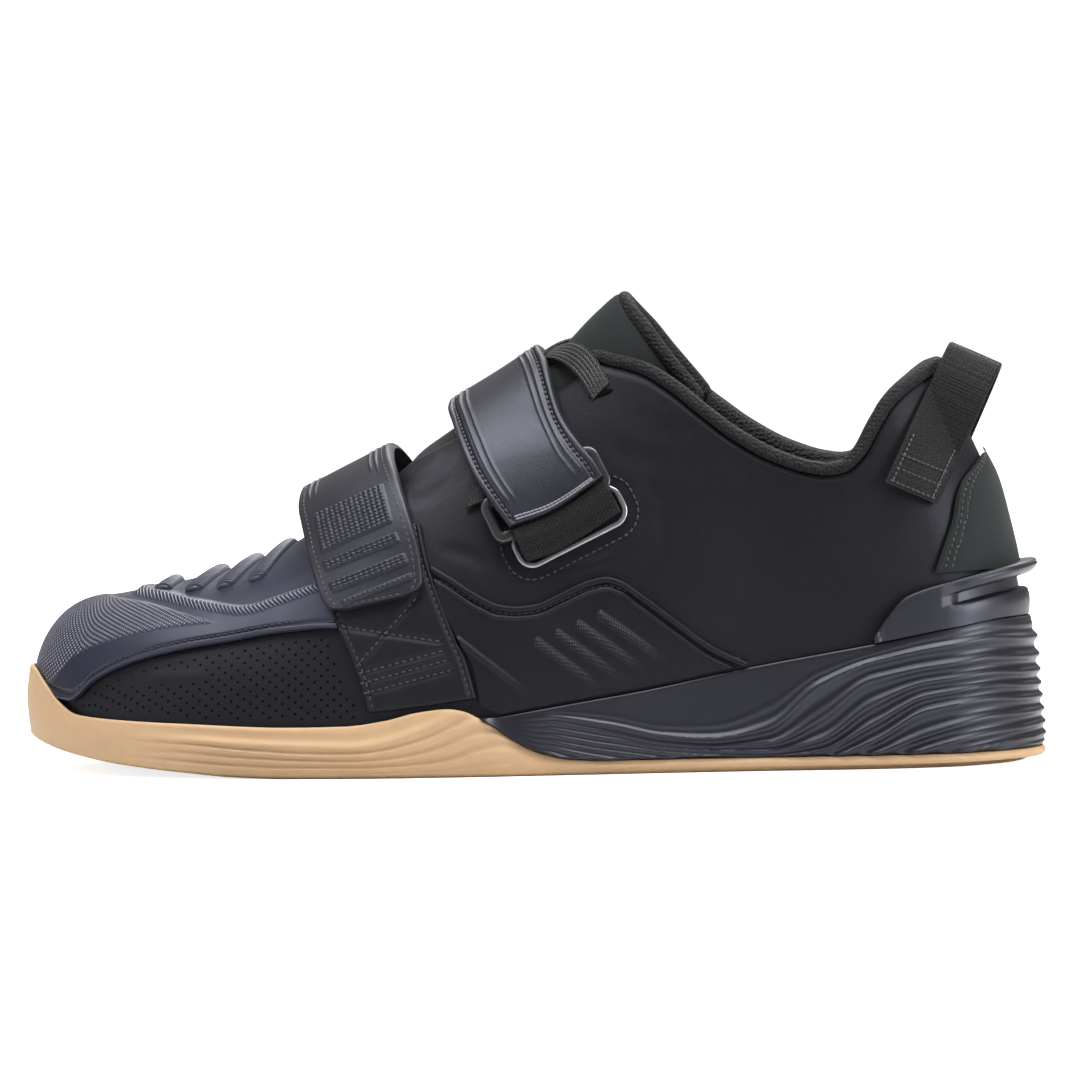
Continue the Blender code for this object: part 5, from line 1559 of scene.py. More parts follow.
def room(x, height, tall):
    """How much of its full height a ridge has room for: 1 where the flow's lines lie ROOM_APART apart."""
    above = flow(x, height + 0.02, BLOCK_STATIONS, BLOCK_FLOW)
    below = flow(x, height - 0.02, BLOCK_STATIONS, BLOCK_FLOW)
    apart = 0.02 / np.maximum(above - below, 1e-3)
    return np.clip(2 * apart * tall / ROOM_APART, 0.25, 1.0)


def crests(phase, count, sharp):
    """Ridges one to each line of a flow, fading out past its first and last line."""
    wave = (0.5 + 0.5 * np.cos(2 * math.pi * phase)) ** sharp
    return wave * step(phase, 0.0, 0.4) * step(count - phase, 0.0, 0.6)


def quarter_round(share):
    """How far a rounded corner has drawn in, 0 at its start and 1 at its end."""
    return 1 - math.sqrt(1 - min(1.0, max(0.0, share)) ** 2)


def gum_edge(x):
    """Upper edge of the gum wall: the rim in front and the wedge's seat behind, on one curve."""
    return smooth(*zip(*(RIM[:12] + GUM_FALL + JOINT)))(along(x)) * HEEL_RIM


def make_gum_sole():
    turns = np.linspace(0, math.pi, 380)
    inner = OVERLAY_GAP + CLEAR
    rings = []
    for out, lift in ((-0.006, 0.0), (0.0004, 0.0), (0.0012, 0.0002), (0.0019, 0.0006), (0.0024, 0.0012)):
        rings.append(ring(turns, lambda t, s: outline(t, s, out, lambda x: underside(x) + lift)))
    for share in np.concatenate([np.linspace(0, 0.9, 46), [0.93, 0.955, 0.975, 0.99, 1.0]]):

        def level(x):
            low = underside(x) + SOLE_ROUND
            return low + (gum_edge(x) - low) * share

        def wall(t, s):
            x = outline(t, s, 0.0, level)[..., 0]
            front = 1 - step(along(x), 0.47, 0.52)
            reach = TOE_RIM * front + (wedge_flare(x) - GUM_HEEL_IN) * (1 - front)
            tall = np.clip((gum_edge(x) - underside(x)) / SOLE_FULL_WALL, 0, 1)
            bulge = math.sin(math.pi * min(share * 1.1, 1)) * (0.0008 * tall + 0.0005 * (1 - tall))
            ridges = crests(flow(x, share, GUM_STATIONS, GUM_FLOW), 5, 1.4) * GUM_RIDGE
            ridges = ridges * step(along(x), 0.10, 0.22) * (1 - step(along(x), 0.475, 0.50))
            corner = 0.0009 * quarter_round((share - 0.9) / 0.1)
            return outline(t, s, reach + bulge + ridges - 0.0006 - corner, level)

        rings.append(ring(turns, wall))
    rings.append(ring(turns, lambda t, s: outline(t, s, inner, gum_edge)))
    rings.append(
        ring(turns, lambda t, s: outline(t, s, -BED_INSET, lambda x: np.minimum(bed(x), gum_edge(x))))
    )
    piece = solid_of("gum_sole", rings, [LOOK["gum"]])
    replace(piece, "gum_rubber", "outsole")


def make_heel_block():
    turns = np.linspace(float(turn_at(place(BLOCK_START), 0.0)), math.pi, 300)
    seat = lambda x: gum_edge(x) + CLEAR
    rim = lambda x: np.where(along(x) < WEDGE_START, WEDGE[0][1] * HEEL_RIM, wedge_rim(x))
    rings = [ring(turns, lambda t, s: outline(t, s, -0.004, seat))]
    for share in np.concatenate([np.linspace(0, 0.96, 78), [0.975, 0.988, 0.996, 1.0]]):

        def level(x):
            return seat(x) + (np.maximum(rim(x), seat(x) + 0.0002) - seat(x)) * share

        def wall(t, s):
            x = outline(t, s, 0.0, level)[..., 0]
            lean = wedge_flare(x) * (1 - WEDGE_LEAN * share)
            lines = flow(x, share, BLOCK_STATIONS, BLOCK_FLOW)
            ridges = crests(lines, 9, 1.4) * BLOCK_RIDGE * room(x, share, rim(x) - seat(x))
            ridges = ridges * step(along(x), 0.49, 0.56) - BLOCK_BACK * step(along(x), 0.56, 0.70)
            corner = 0.0006 * quarter_round((share - 0.96) / 0.04)
            foot = 0.0006 * (1 - min(1.0, share / 0.03)) ** 2
            return outline(t, s, lean + ridges - corner - foot, level)

        rings.append(ring(turns, wall))
    rings.append(ring(turns, lambda t, s: wall_line(t, s, OVERLAY_GAP, lambda x: rim(x) - 0.0002)))
    rings.append(
        ring(turns, lambda t, s: outline(t, s, OVERLAY_GAP, lambda x: np.minimum(bed(x), rim(x) - 0.001)))
    )
    piece = solid_of("heel_block", rings, [LOOK["rubber"]])
    replace(piece, "black_rubber", "heel_wedge")


def make_footbed():
    turns = np.linspace(0, math.pi, 140)
    inset = -(UPPER_WALL + 2 * CLEAR)
    top = CLEAR + INSOLE_THICKNESS
    rings = [ring(turns, lambda t, s: outline(t, s, inset, lambda x: bed(x) + CLEAR))]
    for out, lift in ((0.0, top - 0.0012), (-0.0002, top - 0.0005), (-0.0008, top), (-0.006, top - 0.0003)):
        rings.append(ring(turns, lambda t, s: outline(t, s, inset + out, lambda x: bed(x) + lift)))
    piece = solid_of("footbed", rings, [LOOK["knit"]])
    replace(piece, "knit", "insole")


# The upper


def crease_field(points, creases):
    """Troughs and ridges along lines drawn in side view: line, half width, height (below 0 a trough)."""
    total = np.zeros(points.shape[:-1])
    for line, half, height in creases:
        gap, share = off_line(points, drawn(line, 14))
        total += soft(gap, half, height) * np.sin(np.clip(share, 0, 1) * math.pi) ** 0.7
    return total


def make_shell():
    """The leather upper, with its lining on the inside and its wear creases."""
    turns = upper_turns(400)
    rows = np.linspace(0, 1, 110)
    outer, inner, faces, uvs = [], [], [], []
    for side in (LATERAL, MEDIAL):
        tops = top_share(turns, side)
        ups = tops[:, None] * rows[None, :]
        grid = np.repeat(turns[:, None], len(rows), axis=1)
        places = skin(grid, ups, side)
        out = crease_field(places, CREASES)
        open_edge = step(rows, 0.965, 1.0)[None, :] * step(along(places[..., 0]), 0.30, 0.34)
        bound = 1 - open_edge * 0.0006 / 0.0011
        edge_in = (1 - bound) * 0.0011
        faces.append(quads(len(turns), len(rows), start=len(outer) * grid.size))
        outer.append(skin(grid, ups, side, out * bound - edge_in).reshape(-1, 3))
        inner.append(skin(grid, ups, side, -UPPER_WALL + edge_in * 0.5).reshape(-1, 3))
        uvs.append(measured(places))
    looks = [LOOK["leather"], LOOK["lining"]]
    piece = shell(
        "shell", np.concatenate(outer), np.concatenate(inner), np.concatenate(faces), looks,
        np.concatenate(uvs)
    )
    replace(piece, "black_leather", "upper")


def replace(piece, slot, *nodes):
    """The piece rides on the shoe and stands for its solids; its finish slot is not used."""
    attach(piece, "root")
    if nodes:
        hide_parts(*nodes)


def cap_places(along_steps, share, side):
    """Turns and ups over the toe, its rear end tucked under the front strap and its base."""
    border = table_curve(CAP_COLUMNS, CAP_BORDER, "border")
    rear = smooth(*zip(*((z * 0.001, x * 0.001) for x, z in CAP_REAR)))
    steps = np.linspace(0, 1, along_steps)
    low = np.zeros(along_steps)
    for _ in range(10):
        end = rear(height_at(bare_skin(turn_at(place(CAP_END), low), low, side)[..., 0], low))
        turns = steps * turn_at(end, low)
        x = bare_skin(turns, low, side)[..., 0]
        low = up_at(x, border(along(x)) * INSTEP_HEIGHT)
    ups = low[:, None] + (1 - low)[:, None] * share[None, :]
    end = np.full(ups.shape, place(CAP_END))
    for _ in range(5):
        end = rear(height_at(end, ups))
    return steps[:, None] * turn_at(end, ups), ups


def make_toe_skin():
    """The film over the toe: raised border, chevron ridge and two fields of fine texture."""
    share = np.concatenate([np.linspace(0, 0.08, 26), np.linspace(0.08, 1.0, 115)[1:]])
    steps = 250
    outer, inner, faces, uvs, knurl, ribs, tooth_run = [], [], [], [], [], [], []
    chevron = drawn(CHEVRON, 80)
    upper_line = smooth(*zip(*((x * 0.001, z * 0.001) for x, z in FIELD_TOP)))
    lower_line = smooth(*zip(*((x * 0.001, z * 0.001) for x, z in FIELD_FOOT)))
    for side in (LATERAL, MEDIAL):
        turns, ups = cap_places(steps, share, side)
        places = skin(turns, ups, side)
        x, z = places[..., 0], places[..., 2]
        up_low = skin(turns[:, :1], ups[:, :1], side)
        from_edge = np.linalg.norm(places - up_low, axis=-1)
        off = bead(np.abs(from_edge - PIPING_HALF), PIPING_HALF, PIPING_HEIGHT)
        off -= soft(np.abs(from_edge - FILM_SEAM), SEAM_HALF, SEAM_DEPTH)
        off -= rounding(from_edge, 0.0006)
        gap, run = off_line(places, chevron)
        ridge = soft(gap, CHEVRON_HALF, CHEVRON_HEIGHT) * step(run, 0.0, 0.04)
        off += ridge
        inside_field = step(upper_line(x) - z, 0.0, FIELD_EDGE) * step(z - lower_line(x), 0.0, FIELD_EDGE)
        inside_field = inside_field * (1 - step(x, -0.0930, -0.0880))
        off += inside_field * FIELD_HEIGHT
        faces.append(quads(steps, len(share), start=len(outer) * turns.size))
        outer.append(skin(turns, ups, side, FILM_LIFT + off).reshape(-1, 3))
        inner.append(skin(turns, ups, side, OVERLAY_GAP).reshape(-1, 3))
        uvs.append(measured(places))
        knurl.append(inside_field.ravel())
        ribs.append(np.clip(ridge / 0.0008, 0, 1).ravel())
        tooth_run.append((run * CHEVRON_LENGTH - gap * 0.9).ravel())
        seam = np.searchsorted(from_edge[steps // 2], FILM_SEAM)
        low = places[:, seam]
        face = skin(turns, ups, side, 0.001)[:, seam] - low
        keep = slice(12, steps - 2)
        SEWN.append(row_of(low[keep] + face[keep] / 0.001 * (FILM_LIFT - 0.0003), face[keep], PITCH))
    values = {
        "knurl": np.concatenate(knurl), "ribs": np.concatenate(ribs), "tooth_run": np.concatenate(tooth_run)
    }
    piece = shell(
        "toe_skin", np.concatenate(outer), np.concatenate(inner), np.concatenate(faces), [LOOK["film"]],
        np.concatenate(uvs), values, backed=False,
    )
    replace(piece, "toe_film", "toe_cap")


# Straps, their patches, hardware and webbing


def band_surface(rows, columns=STRAP_COLUMNS):
    """A function of at (0 to 1 along the strap), mix (0 to 1 across it) and height off its underside."""
    read = {key: np.array(column(columns, rows, key), float) for key in columns}
    lines = []
    for key in ("front", "back"):
        x = place(read[key])
        up = up_at(x, read[key + "_up"] * INSTEP_HEIGHT)
        values = (x, read["side"] * (1 - up), read[key + "_off"] * LIFT)
        lines.append([smooth(range(len(rows)), value) for value in values])

    def surface(at, mix, out):
        at = at * (len(rows) - 1)
        x, swing, off = (lines[0][k](at) * (1 - mix) + lines[1][k](at) * mix for k in range(3))
        side = np.where(swing < 0, LATERAL, MEDIAL)
        return on_skin(x, 1 - np.abs(swing), side, off + out)

    return surface


def band_sizes(surface):
    """Length along the middle, and width at the middle, of a strap."""
    at = np.linspace(0, 1, 60)
    middle = surface(at, np.full(60, 0.5), 0.0)
    length = np.linalg.norm(np.diff(middle, axis=0), axis=1).sum()
    mix = np.linspace(0, 1, 20)
    across = surface(np.full(20, 0.5), mix, 0.0)
    return length, np.linalg.norm(np.diff(across, axis=0), axis=1).sum()


def make_band(
    name, rows, thickness, look, slot, node, relief=None, steps=(300, 60), corners=None, edge=0.0009
):
    """A strap with rounded edges. relief(points, along, across) gives its raised and sunk detail."""
    surface = band_surface(rows)
    length, width = band_sizes(surface)
    even = np.linspace(0, 1, steps[1])
    mix = 0.5 - 0.5 * np.cos(even * math.pi) * 0.35 - 0.325 * (1 - 2 * even)
    mix = (mix - mix[0]) / (mix[-1] - mix[0])
    at = np.linspace(0, 1, steps[0])
    at, mix = np.meshgrid(at, mix, indexing="ij")
    if corners:
        at = tab_end(at, mix, length, width, corners)
    from_side = np.minimum(mix, 1 - mix) * width
    from_end = np.minimum(at, 1 - at) * length
    low = surface(at, mix, 0.0)
    side_gap = np.minimum(from_side, from_end)
    fall = rounding(side_gap, edge)
    out = thickness - fall
    if relief:
        out = out + relief(low, at * length, mix * width, length, width) * step(side_gap, 0.0, 0.0012)
    outer = surface(at, mix, out)
    uv = np.stack([at * length, mix * width], axis=-1).reshape(-1, 2)
    faces = quads(*at.shape)
    piece = shell(name, outer, low, faces, look, uv)
    replace(piece, slot, node)
    return surface, length, width


def tab_end(at, mix, length, width, corner):
    """Shortens a strap's first end towards its sides, so that its corners are round."""
    across = np.minimum(mix, 1 - mix) * width
    cut = rounding(across, corner) / length
    return cut * (1 - at) ** 3 + at * (1 - cut * (1 - at) ** 3)


def sew_band(surface, length, width, rows, out, pitch=PITCH, kept=SEWN):
    """Rows of stitches on a strap: each row from (along, across) to (along, across), in metres."""
    for start, end in rows:
        count = max(12, int(math.dist(start, end) / 0.002))
        at = np.linspace(start[0], end[0], count) / length
        mix = np.linspace(start[1], end[1], count) / width
        low = surface(at, mix, out)
        kept.append(row_of(low, surface(at, mix, out + 0.001) - low, pitch))


def edge_rows(length, width, inset, start, end):
    """Rows along both sides of a strap, an inset inside its edges, short of its ends."""
    return [((start, across), (length - end, across)) for across in (inset, width - inset)]


def strap_lines(along_strap, across, length, width, start, end):
    """Two ridge lines inside each edge, from one place along the strap to another."""
    inside_edge = np.minimum(across, width - across)
    faded = step(along_strap, start, start + 0.006) * (1 - step(along_strap, end - 0.006, end))
    rows = sum(soft(np.abs(inside_edge - inset), 0.0006, height) for inset, height in STRAP_LINES)
    seam = soft(np.abs(inside_edge - STRAP_SEAM), 0.0011, 0.00055)
    return rows * faded - seam


def quad_place(points, corners):
    """Place of points inside a four-cornered patch seen from the side: 0 to 1 along and down."""
    p = points[..., [0, 2]]
    a, b, c, d = (np.array(corner) * 0.001 for corner in corners)
    along_top = (b - a + c - d) / 2
    down = (d - a + c - b) / 2
    base = np.stack([along_top, down], axis=1)
    local = (p - a) @ np.linalg.inv(base).T
    return local[..., 0], local[..., 1]


def grip_pad(points, corners, height, columns, rows):
    """A raised pad of small dashes."""
    u, v = quad_place(points, corners)
    a, b, _, d = (np.array(corner) * 0.001 for corner in corners)
    wide = math.dist(a, b)
    tall = math.dist(a, d)
    edge = np.minimum(np.minimum(u, 1 - u) * wide, np.minimum(v, 1 - v) * tall)
    dash = np.abs(np.sin(u * columns * math.pi)) ** 0.7 * np.abs(np.sin(v * rows * math.pi)) ** 0.9
    return step(edge, -0.0003, 0.0004) * (height + 0.0006 * dash)


def front_relief(points, along_strap, across, length, width):
    lines = strap_lines(along_strap, across, length, width, 0.050, length * 0.93)
    out = lines
    for corners, rows in zip(GRIP_PADS, GRIP_ROWS):
        out = np.maximum(out, grip_pad(points, corners, 0.0005, 14, rows))
    return np.where(points[..., 1] < 0, out, lines)


def instep_relief(points, along_strap, across, length, width):
    return strap_lines(along_strap, across, length, width, 0.009, length * 0.90)


def patch_relief(points, along_strap, across, length, width):
    """Quilted puckers between the crossing seams of the strap's stitched base."""
    inside_edge = np.minimum(np.minimum(across, width - across), 0.02)
    out = -soft(np.abs(inside_edge - BASE_SEAM), 0.0011, 0.0004)
    for line in PATCH_SEAMS:
        gap, _ = off_line(points, drawn(line, 8))
        out = out - soft(gap, 0.0018, 0.0005)
    return np.maximum(out, -0.0006) + 0.0003


def plain_relief(points, along_strap, across, length, width):
    inside_edge = np.minimum(across, width - across)
    return -soft(np.abs(inside_edge - BASE_SEAM), 0.0011, 0.0004)


def make_straps():
    look = [LOOK["strap"], LOOK["lining"]]
    surface, length, width = make_band(
        "front_band", FRONT_STRAP, STRAP_THICKNESS, look, "black_leather", "front_strap", front_relief,
        (520, 110), 0.006
    )
    edges = edge_rows(length, width, STRAP_SEAM, 0.004, 0.003)
    edges.append(((STRAP_SEAM, 0.005), (STRAP_SEAM, width - 0.005)))
    sew_band(surface, length, width, edges, STRAP_THICKNESS - 0.0001)
    surface, length, width = make_band(
        "instep_band", INSTEP_STRAP, STRAP_THICKNESS, look, "black_leather", "instep_strap", instep_relief,
        (460, 90)
    )
    edges = edge_rows(length, width, STRAP_SEAM, 0.003, 0.003)
    sew_band(surface, length, width, edges, STRAP_THICKNESS - 0.0001, 0.0019)
    ends = [((reach, 0.003), (reach, width - 0.003)) for reach in END_ROWS]
    sew_band(surface, length, width, ends, STRAP_THICKNESS, SEAM_PITCH, PALE_SEWN)
    surface, length, width = make_band(
        "base_patch", FRONT_STRAP_BASE, OVERLAY, [LOOK["leather"]], "black_leather", "front_strap_base",
        patch_relief, (240, 110),
    )
    edges = edge_rows(length, width, BASE_SEAM, 0.001, 0.001)
    sew_band(surface, length, width, edges, OVERLAY - 0.0002)
    for line in PATCH_SEAMS:
        SEWN.append(seam_on_skin(drawn(line, 20), LATERAL, 0.0005 + OVERLAY - 0.0003, PITCH))
    surface, length, width = make_band(
        "inner_base_patch", INSTEP_STRAP_BASE, OVERLAY, [LOOK["leather"]], "black_leather",
        "instep_strap_base", plain_relief, (120, 90),
    )
    edges = edge_rows(length, width, BASE_SEAM, 0.001, 0.001)
    edges.append(((0.002, 0.002), (0.002, width - 0.002)))
    sew_band(surface, length, width, edges, OVERLAY - 0.0002)
    for name, rows, node in (
        ("instep_tape", INSTEP_WEBBING, "instep_webbing"), ("front_tape", FRONT_WEBBING, "front_webbing")
    ):
        make_band(name, rows, WEBBING, [LOOK["tape"]], "webbing", node, None, (60, 70), edge=0.0005)


def loop_line(read, corner, inset):
    """A rounded rectangle in side view, an inset inside a loop's outline: its x and z."""
    tilt = math.radians(read["slope"])
    flat = rounded_path(read["reach"] - inset, read["rise"] - inset, max(corner - inset, 0.0008), 16)
    flat = fill_sides(flat)
    flat = np.concatenate([flat, flat[:1]])
    x = place(read["x"]) + flat[:, 0] * math.cos(tilt) - flat[:, 1] * math.sin(tilt)
    z = read["up"] * INSTEP_HEIGHT + flat[:, 0] * math.sin(tilt) + flat[:, 1] * math.cos(tilt)
    return x, z


def make_hardware():
    """Rings and slot frames with rounded wire."""
    section = np.linspace(0, 2 * math.pi, 17)
    for row in LOOPS:
        read = dict(zip(LOOP_COLUMNS, row))
        frame_here = "frame" in read["name"]
        corner = FRAME_CORNER if frame_here else LOOP_CORNER
        flats = []
        for angle in section:
            inset = read["wire"] * (0.5 - 0.5 * rounded_box(math.cos(angle)))
            x, z = loop_line(read, corner, inset)
            off = read["off"] + read["deep"] * (0.5 + 0.5 * rounded_box(math.sin(angle)))
            flats.append(on_skin(x, up_at(x, z), read["side"], off))
        grid = np.stack(flats, axis=1)
        first, faces = joined(grid.reshape(-1, 3), quads(*grid.shape[:2]))
        if frame_here:
            x, z = loop_line(read, corner, -FRAME_SEAM)
            low = on_skin(x, up_at(x, z), read["side"], 0.0001)
            SEWN.append(row_of(low, on_skin(x, up_at(x, z), read["side"], 0.0011) - low, PITCH))
        look = LOOK["bright metal"] if frame_here else LOOK["dark metal"]
        name = read["name"].replace("slot_frame", "bar_loop").replace("ring", "end_loop")
        piece = form(name, grid.reshape(-1, 3)[first], faces, [look])
        replace(piece, "bright_metal" if frame_here else "dark_metal", read["name"])


def rounded_box(value):
    """Squares a circle's sine a little, for a flattened wire."""
    return math.copysign(abs(value) ** 0.6, value)


def fill_sides(flat):
    """Adds places along the straight sides of a path of corners."""
    out = []
    for a, b in zip(flat, np.roll(flat, -1, axis=0)):
        count = max(1, int(math.dist(a, b) / 0.0012))
        for k in range(count):
            out.append(a + (b - a) * k / count)
    return np.array(out)


def make_lace():
    """Flat laces that dip into the slots of the eyestays."""
    for number, row in enumerate(LACE, 1):
        read = dict(zip(LACE_COLUMNS, row))
        low = OVERLAY_GAP + read["layer"] * (LACE_THICKNESS + CLEAR)
        swing = np.linspace(-1, 1, 81)
        middle = place((read["lateral"] * (1 - swing) + read["medial"] * (1 + swing)) / 2)
        down = []
        for share in (read["lateral"], read["medial"]):
            x = place(share)
            down.append(1 - float(up_at(x, crown(x) - LACE_DROP * INSTEP_HEIGHT)))
        drop = np.where(swing < 0, down[0], down[1]) * np.abs(swing)
        across = np.linspace(-0.5, 0.5, 11)
        x = middle[:, None] + across[None, :] * LACE_WIDTH
        up = np.repeat((1 - drop)[:, None], 11, axis=1)
        side = np.where(swing < 0, LATERAL, MEDIAL)[:, None] * np.ones((1, 11))
        dips = step(np.abs(swing), 0.93, 1.0)[:, None] * LACE_DIP
        crown_of = (1 - (2 * across) ** 4)[None, :] * LACE_CROWN
        outer = on_skin(x, up, side, low + LACE_THICKNESS * 0.75 + crown_of - dips)
        inner = on_skin(x, up, side, low - dips)
        piece = shell(
            f"lace_{number}", outer, inner, quads(81, 11), [LOOK["lace"]], measured(outer)
        )
        replace(piece, "webbing", f"lace_crossing_{number}")


def lace_slot_shade():
    """The slots in both eyestays that the top lace runs into, drawn as dark discs of painted shade."""
    (x1, z1), (x2, z2) = EYELET_SLOT
    x = np.array([(x1 + x2) / 2])
    z = np.array([(z1 + z2) / 2])
    places = []
    for side in (LATERAL, MEDIAL):
        low = on_skin(x, up_at(x, z), side, 0.0001)
        ahead = on_skin(x + 0.001, up_at(x + 0.001, z + 0.001 * (z2 - z1) / (x2 - x1)), side, 0.0001) - low
        places.append((low, ahead, on_skin(x, up_at(x, z), side, 0.001) - low))
    return places


# Panels, perforations and heel


def make_side_panels():
    """Overlays with a beaded edge, a second fine line, and four bars that fade out downwards."""
    border = smooth(*zip(*(PANEL_LEAD + PANEL_BORDER)))
    lead = smooth(*zip(*((z * 0.001, x * 0.001) for x, z in PANEL_FRONT)))
    steps = np.linspace(0, 1, 300)[:, None]
    share = np.linspace(0, 1, 130)[None, :]
    for side, name, node in (
        (LATERAL, "panel_lateral", "side_panel_lateral"), (MEDIAL, "panel_medial", "side_panel_medial")
    ):
        z = np.full((300, 130), 0.03)
        for _ in range(6):
            front = lead(z) if side == LATERAL else np.full(z.shape, place(PANEL_START))
            x = front + (place(PANEL_END) - front) * steps
            foot = np.where(along(x) < WEDGE[0][0], gum_rim(x), wedge_rim(x)) + PANEL_FOOT_GAP
            top = np.maximum(border(along(x)) * INSTEP_HEIGHT, foot + 0.0008)
            z = foot + (top - foot) * share
        under_top = top - z
        slope = np.gradient(border(along(x[:, -1])) * INSTEP_HEIGHT, x[:, -1])[:, None]
        from_edge = under_top / np.hypot(1, slope)
        off = bead(np.abs(from_edge - PANEL_BEAD), PANEL_BEAD, 0.0005)
        off -= soft(np.abs(from_edge - PANEL_SEAM), 0.0007, SEAM_DEPTH)
        off += soft(np.abs(from_edge - PANEL_LINE), 0.0007, 0.00045)
        places = on_skin(x, up_at(x, z), side)
        rough = np.zeros(x.shape)
        for bar in FADING_BARS:
            gap, run = off_line(places, drawn(bar, 10))
            fade = step(run, 0.0, 0.04) * (1 - step(run, 0.25, 1.0))
            off += soft(gap, FADING_HALF, 0.0010) * fade
            rough = np.maximum(rough, soft(gap, FADING_HALF, 1.0) * fade)
        gap, run = off_line(places, drawn(SHORT_RIDGE, 12))
        off += soft(gap, 0.0014, 0.0007) * (1 - step(run, 0.5, 1.0))
        fall = rounding(from_edge, 0.0008)
        up = up_at(x, z)
        outer = on_skin(x, up, side, OVERLAY_GAP + OVERLAY * 0.8 + off - fall)
        inner = on_skin(x, up, side, OVERLAY_GAP)
        piece = shell(
            name, outer, inner, quads(300, 130), [LOOK["panel"]], measured(outer),
            {"rough": rough.ravel()}, backed=False,
        )
        replace(piece, "black_leather", node)
        row = int(np.argmin(np.abs(from_edge[150] - PANEL_SEAM)))
        lift = OVERLAY_GAP + OVERLAY * 0.8
        low = on_skin(x[4:-6, row], up[4:-6, row], side, lift - 0.0006)
        SEWN.append(row_of(low, on_skin(x[4:-6, row], up[4:-6, row], side, lift + 0.0004) - low, 0.0019))


def make_perforations():
    """Holes in rows that follow the toe's lower border, each row half a pitch on from the last; each hole
    is a dark disc of painted shade.
    """
    border = table_curve(CAP_COLUMNS, CAP_BORDER, "border")
    for side in (LATERAL, MEDIAL):
        for row in range(HOLE_ROWS):
            shift = 0.5 * HOLE_PITCH * (row % 2)
            x = np.arange(HOLES_FROM, HOLES_TO, HOLE_PITCH) + shift
            z = border(along(x)) * INSTEP_HEIGHT - HOLE_TOP_GAP - row * HOLE_ROW
            clear = (z > gum_rim(x) + HOLE_FOOT_GAP) & (
                x < HOLES_END[0] - (z - HOLES_END[1]) * HOLES_END[2]
            )
            x, z = x[clear], z[clear]
            if len(x) < 2:
                continue
            up = up_at(x, z)
            points = on_skin(x, up, side, 0.00004)
            ahead = on_skin(x + 0.001, up_at(x + 0.001, z), side, 0.00004) - points
            PUNCHED.append((points, ahead, on_skin(x, up, side, 0.001) - points))


def clip_places(turns, sides, level):
    """Shares of the way up the section for levels of the heel clip, from its foot to its top edge."""
    edge = table_curve(CLIP_COLUMNS, CLIP_EDGE, "height")
    grid = np.repeat(turns[:, None], level.shape[1], axis=1)
    side = np.repeat(sides[:, None], level.shape[1], axis=1)
    up = np.full(grid.shape, 0.1)
    for _ in range(8):
        x = bare_skin(grid, up, side)[..., 0]
        low = wedge_rim(x) + CLEAR
        high = np.maximum(edge(along(x)) * HEEL_TOP, low + CLIP_LEAST)
        up = up_at(x, low + (high - low) * level)
    return grid, side, up, x


def make_clip():
    """The moulded heel clip, with a deep slot below its lip."""
    turns, sides = heel_arc(place(CLIP_START), 0.1, 150)
    level = np.linspace(0, 1, 90)[None, :]
    grid, side, up, x = clip_places(turns, sides, level)
    rows = [column(LEVEL_COLUMNS, CLIP_LEVELS, key) for key in LEVEL_COLUMNS]
    side_off = smooth(rows[0], rows[1])(level)
    back_off = smooth(rows[0], rows[2])(level)
    past_start = along(x) - SLOT_START
    toward_back = step(past_start, 0.0, BACK_FADE)
    slot = np.clip(past_start / SLOT_FADE, 0, 1)
    off = side_off[:, :1] + (side_off + (back_off - side_off) * toward_back - side_off[:, :1]) * slot
    low_edge = SLOT_LOW + 0.06 * np.clip((along(x) - 0.93) / 0.06, 0, 1)
    inside_slot = step(level, low_edge - 0.05, low_edge + 0.03) * (
        1 - step(level, SLOT_HIGH - 0.03, SLOT_HIGH + 0.05)
    )
    inside_slot = inside_slot * step(along(x), SLOT_FRONT - 0.004, SLOT_FRONT + 0.006)
    off = off - inside_slot * SLOT_DEPTH + soft(np.abs(level - 0.975), 0.035, LIP_HEIGHT)
    first_column = np.linalg.norm(skin(grid, up, side) - skin(grid[:1], up[:1], side[:1]), axis=-1)
    last_column = np.linalg.norm(skin(grid, up, side) - skin(grid[-1:], up[-1:], side[-1:]), axis=-1)
    from_front = np.minimum(first_column, last_column)
    off = off - soft(np.abs(from_front - CLIP_SEAM), SEAM_HALF, 0.0005)
    off = np.maximum(off, OVERLAY_GAP + 0.0003)
    outer = skin(grid, up, side, off)
    inner = skin(grid, up, side, OVERLAY_GAP)
    piece = shell(
        "clip", outer, inner, quads(*grid.shape), [LOOK["rubber"]], measured(outer),
        {"slot": inside_slot.ravel()}, backed=False,
    )
    replace(piece, "black_rubber", "heel_clip")
    for ends in (slice(0, 40), slice(-40, None)):
        gap = from_front[ends]
        at = np.argmin(np.abs(gap - CLIP_SEAM), axis=0)[3:-8]
        columns = np.arange(level.shape[1])[3:-8]
        picked = tuple(part[ends][at, columns] for part in (grid, up, side, off))
        low = skin(picked[0], picked[1], picked[2], picked[3] - 0.0001)
        SEWN.append(row_of(low, skin(picked[0], picked[1], picked[2], picked[3] + 0.001) - low, 0.0019))


